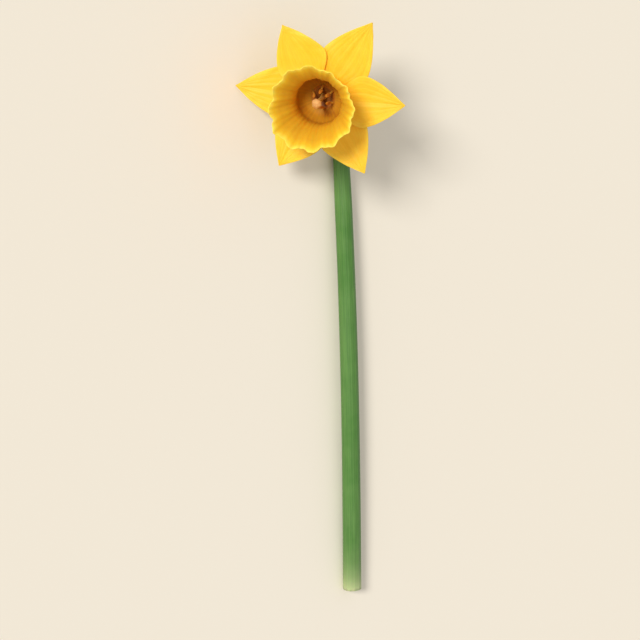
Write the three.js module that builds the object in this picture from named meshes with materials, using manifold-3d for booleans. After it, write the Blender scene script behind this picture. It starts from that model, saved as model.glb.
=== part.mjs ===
// A yellow trumpet daffodil, cut and laid down: one bloom on its leafless stem.
//
// The flower is modelled as it grows, with the stem rising along +Z and the bloom
// facing -Y.  The last section lays it on its side, where it rests on three low points:
// the cut end of the stem, the stem just below the bend, and the tip of one petal.
// Lengths are millimetres.  The origin is the middle of the laid flower's box, on the surface.

import * as THREE from "three";
import { mergeVertices } from "three/addons/utils/BufferGeometryUtils.js";
import Module from "manifold-3d";

const wasm = await Module();
wasm.setup();

// Driving dimensions of the stem

const STEM_STRAIGHT = 312;
const STEM_CUT_RADIUS = 5.1;
const STEM_MIDDLE_RADIUS = 4.8;
const STEM_TOP_RADIUS = 3.7;
const STEM_THINS_FROM = 0.72;
const STEM_BOW = 3.5;
const STEM_RIDGE = 0.45;
const NECK_RIDGE = 0.12;
const STEM_SIDES = 16;
const STEM_HOLLOW_RADIUS = 2.6;
const STEM_HOLLOW_DEPTH = 16;

// Driving dimensions of the bend and the neck, which carry the bloom

const BEND_RADIUS = 5.2;
const NECK_DROOP = 48;
const NECK_STRAIGHT = 15;
const KNEE_RADIUS = 8;
const BLOOM_DROOP = 2;
const NECK_RADIUS = 2.75;
const NECK_END_RADIUS = 3.4;

// Driving dimensions of the ovary and the floral tube, from the neck forwards

const CLEAR = 0.3;
const OVARY_LENGTH = 19;
const OVARY_RADIUS = 8;
const OVARY_LOBE = 0.55;
const TUBE_LENGTH = 6;
const TUBE_NECK_RADIUS = 4.6;
const TUBE_RIM_RADIUS = 14.8;
const TUBE_WALL = 1.1;
const STYLE_HOLE_RADIUS = 2.4;

// Driving dimensions of the petals

const PETAL_BASE = 12.8;
const PETAL_WIDEST = 23;
const PETAL_WIDTH = 29;
const PETAL_CLAW_WIDTH = 11.6;
const PETAL_THICKNESS = 1;
const PETAL_TIP_WIDTH = 1.2;
const PETAL_ROWS = 13;
const PETAL_COLUMNS = 8;

// The inner whorl of three steps forward over the outer whorl and folds more along its midribs.
const INNER_WHORL = { name: "petal_inner", step: 2.1, rise: 2.6, fold: 1.5, wave: 0.5 };
const OUTER_WHORL = { name: "petal_outer", step: 0, rise: 2.2, fold: 0.5, wave: 0.4 };

// Each petal's direction and reach.  Angles are counter-clockwise from the right, in degrees,
// looking into the bloom with its head up.  The phase shifts the wave along the petal's edge.
const INNER_PETALS = [
  { angle: -5, tip: 46.5, phase: 0 },
  { angle: 116, tip: 45.5, phase: 2.1 },
  { angle: 236, tip: 44.5, phase: 4.2 },
];
const OUTER_PETALS = [
  { angle: 54.5, tip: 50.5, phase: 1 },
  { angle: 171, tip: 48.5, phase: 2.7 },
  { angle: 298, tip: 47.5, phase: 4.4 },
];

// Driving dimensions of the corona, the trumpet in the middle

const CORONA_LENGTH = 39;
const CORONA_SEAT_RADIUS = 11.6;
const CORONA_SHOULDER = 5;
const CORONA_THROAT_RADIUS = 14.3;
const CORONA_WAIST_RADIUS = 13.9;
const CORONA_RIM_RADIUS = 22.9;
const CORONA_WALL = 1;
const CORONA_PLEATS = 12;
const CORONA_PLEAT_DEPTH = 0.8;
const CORONA_FRILL = 1.1;

// Driving dimensions of the parts inside the trumpet

const STYLE_RADIUS = 1.5;
const STYLE_REACH = 22;
const STIGMA_RADIUS = 2.7;
const STIGMA_LENGTH = 4;
const STAMEN_COUNT = 6;
const STAMEN_RING = 4.7;
const ANTHER_LENGTH = 7;
const ANTHER_RADIUS = 1.05;
const ANTHER_START = 1.5;

// Driving dimensions of the spathe, the dry sheath that hangs at the bend

const SPATHE_LENGTH = 33;
const SPATHE_WIDTH = 8.4;
const SPATHE_THICKNESS = 0.8;
const SPATHE_RISE = 3.5;
const SPATHE_CLEAR = 0.45;
const SPATHE_STANDOFF = 4.2;
const SPATHE_CURL = 1.9;
const SPATHE_SWAY = 1.2;
const SPATHE_ROWS = 12;
const SPATHE_COLUMNS = 6;
const SPATHE_TURN = 52;

// Turns with which the flower comes to lie, before it settles on its low points

const ROLL_TO_PETAL = -48;

const DEGREE = Math.PI / 180;

// Finishes

function finish(color, roughness) {
  return new THREE.MeshStandardMaterial({ color, roughness, metalness: 0 });
}

const PETAL_FINISH = finish(0xffd02e, 0.55);
const CORONA_FINISH = finish(0xf5ae22, 0.5);
const TUBE_FINISH = finish(0xe8b52c, 0.55);
const STIGMA_FINISH = finish(0xe8b070, 0.6);
const OVARY_FINISH = finish(0x5a8f45, 0.45);
const STEM_FINISH = finish(0x629648, 0.5);
const SPATHE_FINISH = finish(0xb99b70, 0.8);

// Helpers that turn rings and grids of points into closed geometry

function geometryOf(points, faces) {
  const geometry = new THREE.BufferGeometry();
  const positions = points.flatMap((point) => [point.x, point.y, point.z]);
  geometry.setAttribute("position", new THREE.Float32BufferAttribute(positions, 3));
  geometry.setIndex(faces.flat());
  geometry.computeVertexNormals();
  return geometry;
}

function centreOf(ring) {
  const sum = ring.reduce((total, point) => total.add(point), new THREE.Vector3());
  return sum.divideScalar(ring.length);
}

// A skin over rings of points, each ring counter-clockwise seen from the last ring's side,
// with a fan over the first ring and another over the last.
function skinOver(rings) {
  const count = rings[0].length;
  const points = rings.flat();
  const faces = [];
  for (let row = 0; row + 1 < rings.length; row += 1) {
    for (let column = 0; column < count; column += 1) {
      const next = (column + 1) % count;
      const low = row * count;
      const high = low + count;
      faces.push([low + column, low + next, high + next]);
      faces.push([low + column, high + next, high + column]);
    }
  }
  const first = points.push(centreOf(rings[0])) - 1;
  const last = points.push(centreOf(rings.at(-1))) - 1;
  const top = (rings.length - 1) * count;
  for (let column = 0; column < count; column += 1) {
    const next = (column + 1) % count;
    faces.push([first, next, column]);
    faces.push([last, top + column, top + next]);
  }
  return geometryOf(points, faces);
}

// A thin blade between two faces: front[row][column] and the point behind it in back.
// Both faces are split into the same triangles, so the blade is as thick everywhere.
function bladeBetween(front, back) {
  const rows = front.length;
  const columns = front[0].length;
  const points = [...front.flat(), ...back.flat()];
  const behind = rows * columns;
  const faces = [];
  for (let row = 0; row + 1 < rows; row += 1) {
    for (let column = 0; column + 1 < columns; column += 1) {
      const a = row * columns + column;
      const b = a + 1;
      const c = a + columns;
      const d = c + 1;
      faces.push([a, b, d], [a, d, c]);
      faces.push([behind + a, behind + d, behind + b], [behind + a, behind + c, behind + d]);
    }
  }
  const border = [];
  for (let column = 0; column < columns; column += 1) border.push(column);
  for (let row = 1; row < rows; row += 1) border.push(row * columns + columns - 1);
  for (let column = columns - 2; column >= 0; column -= 1) border.push((rows - 1) * columns + column);
  for (let row = rows - 2; row > 0; row -= 1) border.push(row * columns);
  border.forEach((here, place) => {
    const next = border[(place + 1) % border.length];
    faces.push([here, behind + here, behind + next], [here, behind + next, next]);
  });
  return geometryOf(points, faces);
}

// A shape turned about the flower's axis, +Z, from a profile of (radius, height) pairs.
function turned(profile, segments) {
  const outline = profile.map(([radius, height]) => new THREE.Vector2(radius, height));
  const geometry = new THREE.LatheGeometry(outline, segments);
  geometry.rotateX(Math.PI / 2);
  return merged(geometry);
}

function merged(geometry) {
  geometry.deleteAttribute("normal");
  geometry.deleteAttribute("uv");
  return mergeVertices(geometry, 1e-4);
}

// Moves every point of a geometry by a formula of its angle, radius and height.
function reshaped(geometry, formula) {
  const position = geometry.attributes.position;
  for (let index = 0; index < position.count; index += 1) {
    const angle = Math.atan2(position.getY(index), position.getX(index));
    const radius = Math.hypot(position.getX(index), position.getY(index));
    const moved = formula(angle, radius, position.getZ(index));
    position.setXYZ(index, moved.radius * Math.cos(angle), moved.radius * Math.sin(angle), moved.height);
  }
  geometry.computeVertexNormals();
  return geometry;
}

function solidOf(geometry) {
  const plain = merged(geometry.clone());
  const vertProperties = Float32Array.from(plain.attributes.position.array);
  const triVerts = Uint32Array.from(plain.index.array);
  return new wasm.Manifold(new wasm.Mesh({ numProp: 3, vertProperties, triVerts }));
}

function geometryFrom(solid) {
  const mesh = solid.getMesh();
  const geometry = new THREE.BufferGeometry();
  geometry.setAttribute("position", new THREE.BufferAttribute(Float32Array.from(mesh.vertProperties), 3));
  geometry.setIndex(new THREE.BufferAttribute(Uint32Array.from(mesh.triVerts), 1));
  geometry.computeVertexNormals();
  return geometry;
}

function smooth(value) {
  return THREE.MathUtils.smoothstep(value, 0, 1);
}

function addPiece(group, name, geometry, material) {
  const mesh = new THREE.Mesh(geometry, material);
  mesh.name = name;
  group.add(mesh);
  return mesh;
}

// The stem and its neck, grown as one

// The middle line lies in a plane: x is forwards, towards the side that the bloom faces,
// and y is up.  It rises straight, turns over the bend, and runs down the neck to the knee.
function stemLine() {
  const fall = -NECK_DROOP * DEGREE;
  const quarter = Math.PI / 2;
  const bendStart = new THREE.Vector2(0, STEM_STRAIGHT);
  const stalk = new THREE.LineCurve(new THREE.Vector2(0, 0), bendStart);
  const bend = arc(BEND_RADIUS, STEM_STRAIGHT, BEND_RADIUS, 2 * quarter, fall + quarter, true);
  const along = new THREE.Vector2(Math.cos(fall), Math.sin(fall));
  const neckStart = bend.getPoint(1);
  const kneeStart = neckStart.clone().addScaledVector(along, NECK_STRAIGHT);
  const neck = new THREE.LineCurve(neckStart, kneeStart);
  const kneeX = kneeStart.x - along.y * KNEE_RADIUS;
  const kneeY = kneeStart.y + along.x * KNEE_RADIUS;
  const knee = arc(kneeX, kneeY, KNEE_RADIUS, fall - quarter, -quarter - BLOOM_DROOP * DEGREE, false);
  return [stalk, bend, neck, knee];
}

function arc(x, y, radius, start, stop, clockwise) {
  return new THREE.EllipseCurve(x, y, radius, radius, start, stop, clockwise);
}

// Steps along the straight stem, the bend, the neck and the knee.
const LINE_STEPS = [24, 11, 3, 4];

// The stem thins from the cut to the bend, and the neck swells a little where it meets the ovary.
function stemRadius(part, share) {
  if (part === 0) {
    const lower = THREE.MathUtils.lerp(STEM_CUT_RADIUS, STEM_MIDDLE_RADIUS, share);
    const thinning = (share - STEM_THINS_FROM) / (1 - STEM_THINS_FROM);
    return THREE.MathUtils.lerp(lower, STEM_TOP_RADIUS, smooth(thinning));
  }
  if (part === 1) return THREE.MathUtils.lerp(STEM_TOP_RADIUS, NECK_RADIUS, smooth(share));
  if (part === 2) return NECK_RADIUS;
  return THREE.MathUtils.lerp(NECK_RADIUS, NECK_END_RADIUS, share);
}

// One ring of the stem: round, with a low ridge along its left and its right.
function stemRing(centre, heading, radius, ridge) {
  const right = new THREE.Vector3(1, 0, 0);
  const front = new THREE.Vector3().crossVectors(heading, right).normalize();
  const ring = [];
  for (let side = 0; side < STEM_SIDES; side += 1) {
    const angle = (side / STEM_SIDES) * 2 * Math.PI;
    const reach = radius + ridge * Math.abs(Math.cos(angle)) ** 6;
    const point = centre.clone().addScaledVector(right, reach * Math.cos(angle));
    ring.push(point.addScaledVector(front, reach * Math.sin(angle)));
  }
  return ring;
}

// The growing stem bows a little, so that its middle stands clear when it lies down.
function bowAt(height) {
  const bow = STEM_BOW * Math.sin(Math.PI * THREE.MathUtils.clamp(height / STEM_STRAIGHT, 0, 1));
  const lift = -ROLL_TO_PETAL * DEGREE;
  return new THREE.Vector3(bow * Math.sin(lift), -bow * Math.cos(lift), 0);
}

function stemStations() {
  const stations = [];
  stemLine().forEach((curve, part) => {
    for (let step = part === 0 ? 0 : 1; step <= LINE_STEPS[part]; step += 1) {
      const share = step / LINE_STEPS[part];
      const place = curve.getPointAt(share);
      const heading = curve.getTangentAt(share);
      const centre = new THREE.Vector3(0, -place.x, place.y);
      if (part === 0) centre.add(bowAt(place.y));
      const direction = new THREE.Vector3(0, -heading.x, heading.y);
      stations.push({ centre, direction, radius: stemRadius(part, share), part, share });
    }
  });
  return stations;
}

function buildStem(plant) {
  const stations = stemStations();
  const rings = stations.map(({ centre, direction, radius, part, share }) => {
    const ridge = part === 0 ? STEM_RIDGE * (1 - 0.5 * smooth(share)) : NECK_RIDGE;
    return stemRing(centre, direction, radius, ridge);
  });
  const cut = stations[0];
  const deep = cut.centre.clone().addScaledVector(cut.direction, STEM_HOLLOW_DEPTH);
  const mouth = stemRing(cut.centre, cut.direction, STEM_HOLLOW_RADIUS, 0);
  const bottom = stemRing(deep, cut.direction, STEM_HOLLOW_RADIUS * 0.8, 0);
  addPiece(plant, "stem", skinOver([bottom, mouth, ...rings]), STEM_FINISH);
  return stations.at(-1);
}

// The spathe: a dry, boat-shaped blade at the back of the bend, its point hanging free

function buildSpathe(plant) {
  const turn = SPATHE_TURN * DEGREE;
  const outward = new THREE.Vector3(Math.sin(turn), Math.cos(turn), 0);
  const across = new THREE.Vector3(Math.cos(turn), -Math.sin(turn), 0);
  const top = STEM_STRAIGHT + SPATHE_RISE;
  const front = [];
  const back = [];
  for (let row = 0; row <= SPATHE_ROWS; row += 1) {
    const share = row / SPATHE_ROWS;
    const half = (SPATHE_WIDTH / 2) * spatheWidth(share);
    const height = top - SPATHE_LENGTH * share;
    const off = STEM_TOP_RADIUS + SPATHE_CLEAR + SPATHE_STANDOFF * share ** 1.4;
    const frontRow = [];
    const backRow = [];
    const sway = SPATHE_SWAY * Math.sin(share * Math.PI * 0.9);
    for (let column = 0; column <= SPATHE_COLUMNS; column += 1) {
      const side = (2 * column) / SPATHE_COLUMNS - 1;
      const curl = SPATHE_CURL * side * side * (half / (SPATHE_WIDTH / 2)) * (1 - share);
      const point = new THREE.Vector3(0, 0, height);
      point.addScaledVector(across, side * half + sway);
      frontRow.push(point.clone().addScaledVector(outward, off - curl + SPATHE_THICKNESS));
      backRow.push(point.clone().addScaledVector(outward, off - curl));
    }
    front.push(frontRow);
    back.push(backRow);
  }
  addPiece(plant, "spathe", bladeBetween(front, back), SPATHE_FINISH);
}

// Blunt at the top, widest a third of the way down, then tapering to the point.
function spatheWidth(share) {
  if (share < 0.3) return 0.78 + 0.22 * smooth(share / 0.3);
  const down = (share - 0.3) / 0.7;
  return Math.max(1 - down ** 1.25, 0.12);
}

// The ovary: a chubby green bulb of three blunt lobes behind the bloom

function buildOvary(bloom) {
  const back = -TUBE_LENGTH - OVARY_LENGTH;
  const profile = [[0, back]];
  const shares = [0.12, 0.3, 0.5, 0.68, 0.84, 0.95];
  const widths = [0.62, 0.9, 1, 0.98, 0.84, 0.62];
  profile.push([OVARY_RADIUS * 0.44, back]);
  shares.forEach((share, index) => {
    profile.push([OVARY_RADIUS * widths[index], back + OVARY_LENGTH * share]);
  });
  const front = -TUBE_LENGTH - CLEAR;
  profile.push([OVARY_RADIUS * 0.5, front]);
  profile.push([0, front]);
  const geometry = reshaped(turned(profile, 24), (angle, radius, height) => {
    const fullness = Math.min(radius / OVARY_RADIUS, 1);
    const lobe = OVARY_LOBE * Math.cos(3 * angle + Math.PI / 2) * fullness;
    return { radius: radius + lobe, height };
  });
  addPiece(bloom, "ovary", geometry, OVARY_FINISH);
}

// The floral tube: a short funnel from the ovary to the petals, with six stamens in its throat

function stamenSolid(index) {
  const angle = (index / STAMEN_COUNT) * 2 * Math.PI + Math.PI / STAMEN_COUNT;
  const foot = new THREE.Vector3(STAMEN_RING + 1.5, 0, -2.6);
  const shoulder = new THREE.Vector3(STAMEN_RING + 0.1, 0, ANTHER_START);
  const tip = new THREE.Vector3(STAMEN_RING - 0.5, 0, ANTHER_START + ANTHER_LENGTH);
  const stations = [
    [foot, 0.75],
    [shoulder, 0.6],
    [shoulder.clone().lerp(tip, 0.12), ANTHER_RADIUS],
    [shoulder.clone().lerp(tip, 0.85), ANTHER_RADIUS],
    [tip, 0.5],
  ];
  const rings = stations.map(([centre, radius]) => {
    const ring = [];
    for (let side = 0; side < 6; side += 1) {
      const turn = (side / 6) * 2 * Math.PI;
      ring.push(new THREE.Vector3(radius * Math.cos(turn), radius * Math.sin(turn), 0).add(centre));
    }
    return ring;
  });
  const geometry = skinOver(rings);
  geometry.rotateZ(angle);
  return solidOf(geometry);
}

function buildFloralTube(bloom) {
  const rear = -TUBE_LENGTH;
  const rim = -PETAL_THICKNESS / 2 - CLEAR;
  const profile = [
    [STYLE_HOLE_RADIUS, rear],
    [TUBE_NECK_RADIUS - 0.6, rear],
    [TUBE_NECK_RADIUS, rear + 1.2],
    [TUBE_NECK_RADIUS + 2.6, rear + 2.6],
    [TUBE_RIM_RADIUS - 2, rim - TUBE_WALL - 0.4],
    [TUBE_RIM_RADIUS, rim - TUBE_WALL + 0.4],
    [TUBE_RIM_RADIUS, rim],
    [CORONA_SEAT_RADIUS - CORONA_WALL, rim],
    [TUBE_NECK_RADIUS + 1.8, rear + 3.2],
    [STYLE_HOLE_RADIUS, rear + 2.2],
    [STYLE_HOLE_RADIUS, rear],
  ];
  let solid = solidOf(turned(profile, 36));
  for (let index = 0; index < STAMEN_COUNT; index += 1) solid = solid.add(stamenSolid(index));
  addPiece(bloom, "floral_tube", geometryFrom(solid), TUBE_FINISH);
}

// The pistil: a slender style up the middle, ending in a round three-lobed stigma

function buildPistil(bloom) {
  const foot = -TUBE_LENGTH;
  const neck = STYLE_REACH - STIGMA_LENGTH;
  const profile = [
    [0, foot],
    [STYLE_RADIUS * 1.25, foot],
    [STYLE_RADIUS * 1.1, foot + 3],
    [STYLE_RADIUS * 0.9, neck - 4],
    [STYLE_RADIUS, neck - 1],
    [STIGMA_RADIUS * 0.72, neck + 0.4],
    [STIGMA_RADIUS, neck + 1.6],
    [STIGMA_RADIUS * 0.86, neck + 3],
    [STIGMA_RADIUS * 0.42, neck + 3.8],
    [0, STYLE_REACH - 0.5],
  ];
  const geometry = reshaped(turned(profile, 18), (angle, radius, height) => {
    const lobed = height > neck ? 0.1 * radius * Math.cos(3 * angle) : 0;
    return { radius: radius + lobed, height };
  });
  addPiece(bloom, "pistil", geometry, STIGMA_FINISH);
}

// The petals: an inner whorl of three in front of an outer whorl of three

// Half the petal's width at a distance from the flower's axis.
function petalHalfWidth(petal, reach) {
  const claw = PETAL_CLAW_WIDTH / 2;
  const full = PETAL_WIDTH / 2;
  if (reach < PETAL_WIDEST) {
    const share = (reach - PETAL_BASE) / (PETAL_WIDEST - PETAL_BASE);
    return claw + (full - claw) * Math.sin(share * (Math.PI / 2));
  }
  const share = (reach - PETAL_WIDEST) / (petal.tip - PETAL_WIDEST);
  return Math.max(full * (1 - share ** 1.5), PETAL_TIP_WIDTH / 2);
}

// The height of a petal's middle surface: it steps forward from its seat, folds along the
// midrib, and carries one slow wave down each edge.
function petalHeight(petal, reach, side) {
  const share = (reach - PETAL_BASE) / (petal.tip - PETAL_BASE);
  const forward = petal.step * smooth((reach - PETAL_BASE) / 2.4);
  const rise = petal.rise * share ** 1.5;
  const fold = petal.fold * Math.abs(side) ** 1.5 * Math.sin(Math.PI * Math.min(share * 1.05, 1)) ** 0.8;
  const ripple = Math.sin(share * 9 + petal.phase + side * 1.2);
  const wave = petal.wave * ripple * side * side * smooth(share * 3);
  return forward + rise + fold + wave;
}

function buildPetal(bloom, petal, number) {
  const front = [];
  const back = [];
  for (let row = 0; row <= PETAL_ROWS; row += 1) {
    const share = row / PETAL_ROWS;
    const eased = share - 0.05 * Math.sin(2 * Math.PI * share);
    const reach = PETAL_BASE + (petal.tip - PETAL_BASE) * eased;
    const half = petalHalfWidth(petal, reach);
    const frontRow = [];
    const backRow = [];
    for (let column = 0; column <= PETAL_COLUMNS; column += 1) {
      const side = (2 * column) / PETAL_COLUMNS - 1;
      const height = petalHeight(petal, reach, side);
      frontRow.push(new THREE.Vector3(side * half, reach, height + PETAL_THICKNESS / 2));
      backRow.push(new THREE.Vector3(side * half, reach, height - PETAL_THICKNESS / 2));
    }
    front.push(frontRow);
    back.push(backRow);
  }
  const geometry = bladeBetween(front, back);
  geometry.rotateZ((petal.angle - 90) * DEGREE);
  addPiece(bloom, `${petal.name}_${number}`, geometry, PETAL_FINISH);
}

function buildPetals(bloom) {
  INNER_PETALS.forEach((petal, index) => buildPetal(bloom, { ...INNER_WHORL, ...petal }, index + 1));
  OUTER_PETALS.forEach((petal, index) => buildPetal(bloom, { ...OUTER_WHORL, ...petal }, index + 1));
}

// The corona: a pleated trumpet with a wavy, flaring rim

function coronaRadius(height) {
  const share = height / CORONA_LENGTH;
  const shoulder = smooth(height / CORONA_SHOULDER);
  const seat = THREE.MathUtils.lerp(CORONA_SEAT_RADIUS, CORONA_THROAT_RADIUS, shoulder);
  const waist = THREE.MathUtils.lerp(seat, CORONA_WAIST_RADIUS, smooth((share - 0.1) / 0.25));
  const flare = (CORONA_RIM_RADIUS - CORONA_WAIST_RADIUS) * Math.max((share - 0.36) / 0.64, 0) ** 1.9;
  return waist + flare;
}

function coronaPleats(angle, radius, height) {
  const share = THREE.MathUtils.clamp(height / CORONA_LENGTH, 0, 1);
  const ridge = Math.cos(CORONA_PLEATS * angle);
  const slow = Math.cos(3 * angle + 0.6);
  const swell = CORONA_PLEAT_DEPTH * ridge * share ** 1.6 + 0.5 * slow * share ** 2;
  const frill = CORONA_FRILL * share ** 4 * (ridge + 0.4 * Math.cos(5 * angle + 1));
  return { radius: radius + swell, height: height + frill };
}

function buildCorona(bloom) {
  const levels = [0, 0.04, 0.08, 0.13, 0.22, 0.36, 0.5, 0.64, 0.76, 0.86, 0.94, 1];
  const seat = -PETAL_THICKNESS / 2;
  const outer = levels.map((level) => [coronaRadius(level * CORONA_LENGTH), seat + level * CORONA_LENGTH]);
  const inner = levels.map((level) => {
    const height = level * CORONA_LENGTH;
    return [coronaRadius(height) - CORONA_WALL, seat + height];
  });
  const profile = [...outer, ...inner.reverse(), outer[0]];
  const geometry = reshaped(turned(profile, CORONA_PLEATS * 6), coronaPleats);
  addPiece(bloom, "corona", geometry, CORONA_FINISH);
}

// The whole flower as it grows

function buildPlant() {
  const plant = new THREE.Group();
  const neckEnd = buildStem(plant);
  buildSpathe(plant);

  const bloom = new THREE.Group();
  const forwards = neckEnd.direction.clone().normalize();
  const right = new THREE.Vector3(1, 0, 0);
  const up = new THREE.Vector3().crossVectors(forwards, right);
  bloom.quaternion.setFromRotationMatrix(new THREE.Matrix4().makeBasis(right, up, forwards));
  bloom.position.copy(neckEnd.centre).addScaledVector(forwards, CLEAR + OVARY_LENGTH + TUBE_LENGTH);
  plant.add(bloom);

  buildOvary(bloom);
  buildFloralTube(bloom);
  buildPistil(bloom);
  buildCorona(bloom);
  buildPetals(bloom);
  return plant;
}

// Laying it down

function cornersOf(object) {
  object.updateWorldMatrix(true, true);
  const points = [];
  object.traverse((part) => {
    if (!part.isMesh) return;
    const position = part.geometry.attributes.position;
    for (let index = 0; index < position.count; index += 1) {
      const point = new THREE.Vector3().fromBufferAttribute(position, index);
      points.push(point.applyMatrix4(part.matrixWorld));
    }
  });
  return points;
}

function lowestOf(points) {
  return points.reduce((low, point) => (point.z < low.z ? point : low));
}

// Turns the flower until its three low points share one level, and sets that level to zero.
function settle(flower) {
  for (let round = 0; round < 12; round += 1) {
    const stem = cornersOf(flower.getObjectByName("stem"));
    const middle = STEM_STRAIGHT / 2;
    const cutEnd = stem.reduce((low, point) => Math.min(low, point.y), Infinity);
    const foot = lowestOf(stem.filter((point) => point.y < cutEnd + middle));
    const shoulder = lowestOf(stem.filter((point) => point.y >= cutEnd + middle));
    const petal = lowestOf(cornersOf(flower.getObjectByName("petal_outer_2")));
    const along = shoulder.clone().sub(foot);
    const aside = petal.clone().sub(foot);
    const upwards = along.cross(aside).normalize();
    if (upwards.z < 0) upwards.negate();
    const level = new THREE.Quaternion().setFromUnitVectors(upwards, new THREE.Vector3(0, 0, 1));
    flower.quaternion.premultiply(level);
    flower.position.applyQuaternion(level);
  }
  const box = new THREE.Box3().setFromPoints(cornersOf(flower));
  const centre = box.getCenter(new THREE.Vector3());
  flower.position.x -= centre.x;
  flower.position.y -= centre.y;
  flower.position.z -= box.min.z;
}

const flower = buildPlant();
const tipOver = new THREE.Quaternion().setFromAxisAngle(new THREE.Vector3(1, 0, 0), -90 * DEGREE);
const roll = new THREE.Quaternion().setFromAxisAngle(new THREE.Vector3(0, 1, 0), ROLL_TO_PETAL * DEGREE);
flower.quaternion.copy(roll).multiply(tipOver);
settle(flower);

const group = new THREE.Group();
group.add(flower);

export default group;
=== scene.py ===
# %% [markdown]
# # A yellow trumpet daffodil, cut and laid down
#
# This lesson dresses a imported CAD model of one daffodil.  The CAD solids say where each
# part of the flower is and how large it is.  Here each solid gets a finer twin with the
# form, the relief and the finish of the living thing: veined petals, a ribbed trumpet,
# powdery anthers, a waxy striped stem and a papery sheath.
#
# The first step loads the frame and moves each node's mesh into world coordinates.

import math

import bpy
import numpy as np
from mathutils import Matrix, Vector


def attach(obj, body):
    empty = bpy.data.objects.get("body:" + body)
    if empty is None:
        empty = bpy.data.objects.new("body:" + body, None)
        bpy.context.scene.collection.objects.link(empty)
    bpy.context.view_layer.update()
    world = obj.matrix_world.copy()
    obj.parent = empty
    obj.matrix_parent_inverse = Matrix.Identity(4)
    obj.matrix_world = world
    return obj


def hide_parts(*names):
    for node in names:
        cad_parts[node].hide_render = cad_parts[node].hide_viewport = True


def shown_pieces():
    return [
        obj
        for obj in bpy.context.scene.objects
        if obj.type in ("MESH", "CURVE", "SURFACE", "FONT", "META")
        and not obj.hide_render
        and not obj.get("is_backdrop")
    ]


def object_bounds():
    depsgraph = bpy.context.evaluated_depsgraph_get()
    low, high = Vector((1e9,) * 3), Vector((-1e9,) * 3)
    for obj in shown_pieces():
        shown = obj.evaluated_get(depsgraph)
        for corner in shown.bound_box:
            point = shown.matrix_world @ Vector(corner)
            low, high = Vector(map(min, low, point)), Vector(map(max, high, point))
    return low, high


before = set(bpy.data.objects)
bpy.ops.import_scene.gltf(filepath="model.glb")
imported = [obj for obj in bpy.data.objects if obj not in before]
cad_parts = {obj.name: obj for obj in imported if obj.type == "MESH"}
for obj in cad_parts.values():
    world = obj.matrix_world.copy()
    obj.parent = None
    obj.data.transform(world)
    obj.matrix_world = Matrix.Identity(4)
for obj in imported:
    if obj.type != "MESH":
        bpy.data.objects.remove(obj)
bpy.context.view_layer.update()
MM = 0.001


def in_mm(lengths):
    """Lengths in millimetres, rounded for printing."""
    return [round(float(length) / MM, 1) for length in lengths]


print("nodes:", sorted(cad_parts))

# %% [markdown]
# ## Where the bloom is
#
# A flower is built round an axis, so each part of the bloom is easiest to model upright at
# the world's origin: +Z along the flower's axis, +X to its right and +Y to its head.  One
# matrix then lays the finished part in its place.
#
# The matrix is read off the frame.  The middles of the trumpet and of the ovary both lie on
# the axis, the foot of the trumpet is half a petal's thickness behind the origin, and the
# first outer petal points in a known direction.

# %% The bloom's own place
PETAL_THICKNESS = 1.0 * MM
FIRST_OUTER_PETAL_ANGLE = 54.5


def vectors_of(items, field):
    """Reads one vector from each item of a mesh, such as the place of each point."""
    flat = np.empty(len(items) * 3, np.float32)
    items.foreach_get(field, flat)
    return flat.reshape(-1, 3).astype(float)


def corners(name):
    """A CAD node's corners, each once, in metres."""
    return np.unique(vectors_of(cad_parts[name].data.vertices, "co").round(6), axis=0)


def unit(vector):
    return vector / np.linalg.norm(vector)


def matrix_of(x_axis, y_axis, z_axis, origin):
    rows = np.eye(4)
    rows[:3, 0] = x_axis
    rows[:3, 1] = y_axis
    rows[:3, 2] = z_axis
    rows[:3, 3] = origin
    return Matrix(rows.tolist())


trumpet_corners = corners("corona")
trumpet_middle = trumpet_corners.mean(0)
axis = unit(trumpet_middle - corners("ovary").mean(0))
seat = (trumpet_corners @ axis).min() + PETAL_THICKNESS / 2
bloom_origin = trumpet_middle + axis * (seat - trumpet_middle @ axis)

first_turn = math.radians(FIRST_OUTER_PETAL_ANGLE)
spoke = corners("petal_outer_1").mean(0) - bloom_origin
spoke = unit(spoke - axis * (spoke @ axis))
beside = np.cross(axis, spoke)
right = math.cos(first_turn) * spoke - math.sin(first_turn) * beside
head = np.cross(axis, right)
BLOOM = matrix_of(right, head, axis, bloom_origin)
print("bloom at", in_mm(bloom_origin), "mm, axis", axis.round(3))

# %% [markdown]
# ## Helpers for materials
#
# A material is a small graph.  `node` adds one node, sets its options, and either types a
# value into each input or links another node's output to it, so that a graph reads from its
# first texture down to its shader.

# %% Helpers for materials


def node(tree, kind, inputs=None, **options):
    """Adds a node with its options, and with a value or a link for each input."""
    made = tree.nodes.new("ShaderNode" + kind)
    for name, value in options.items():
        setattr(made, name, value)
    for name, value in (inputs or {}).items():
        if isinstance(value, bpy.types.NodeSocket):
            tree.links.new(value, made.inputs[name])
        else:
            made.inputs[name].default_value = value
    return made


def calc(tree, operation, first, second=0.0):
    return node(tree, "Math", {0: first, 1: second}, operation=operation).outputs[0]


def spread(tree, value, low, high, to_low=0.0, to_high=1.0):
    """Stretches a value from one range to another, and stops at the ends."""
    inputs = {"Value": value, "From Min": low, "From Max": high, "To Min": to_low, "To Max": to_high}
    return node(tree, "MapRange", inputs, interpolation_type="SMOOTHSTEP").outputs["Result"]


def blend(tree, share, first, second):
    """Mixes two colours."""
    return node(tree, "Mix", {"Factor": share, 6: first, 7: second}, data_type="RGBA").outputs[2]


# %% [markdown]
# ## Effects that several finishes share
#
# Two effects come back in most parts of the flower, so each is built once as a node group.
#
# *Tissue* is the fine life of a plant's skin: broad soft patches where the colour drifts,
# and a fine grain of cells that only the light picks out.  *Stripes* are veins or grooves
# that run the length of a part.  They follow the part's own straight coordinates, so that
# they bend and taper with it.

# %% The shared effects


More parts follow.
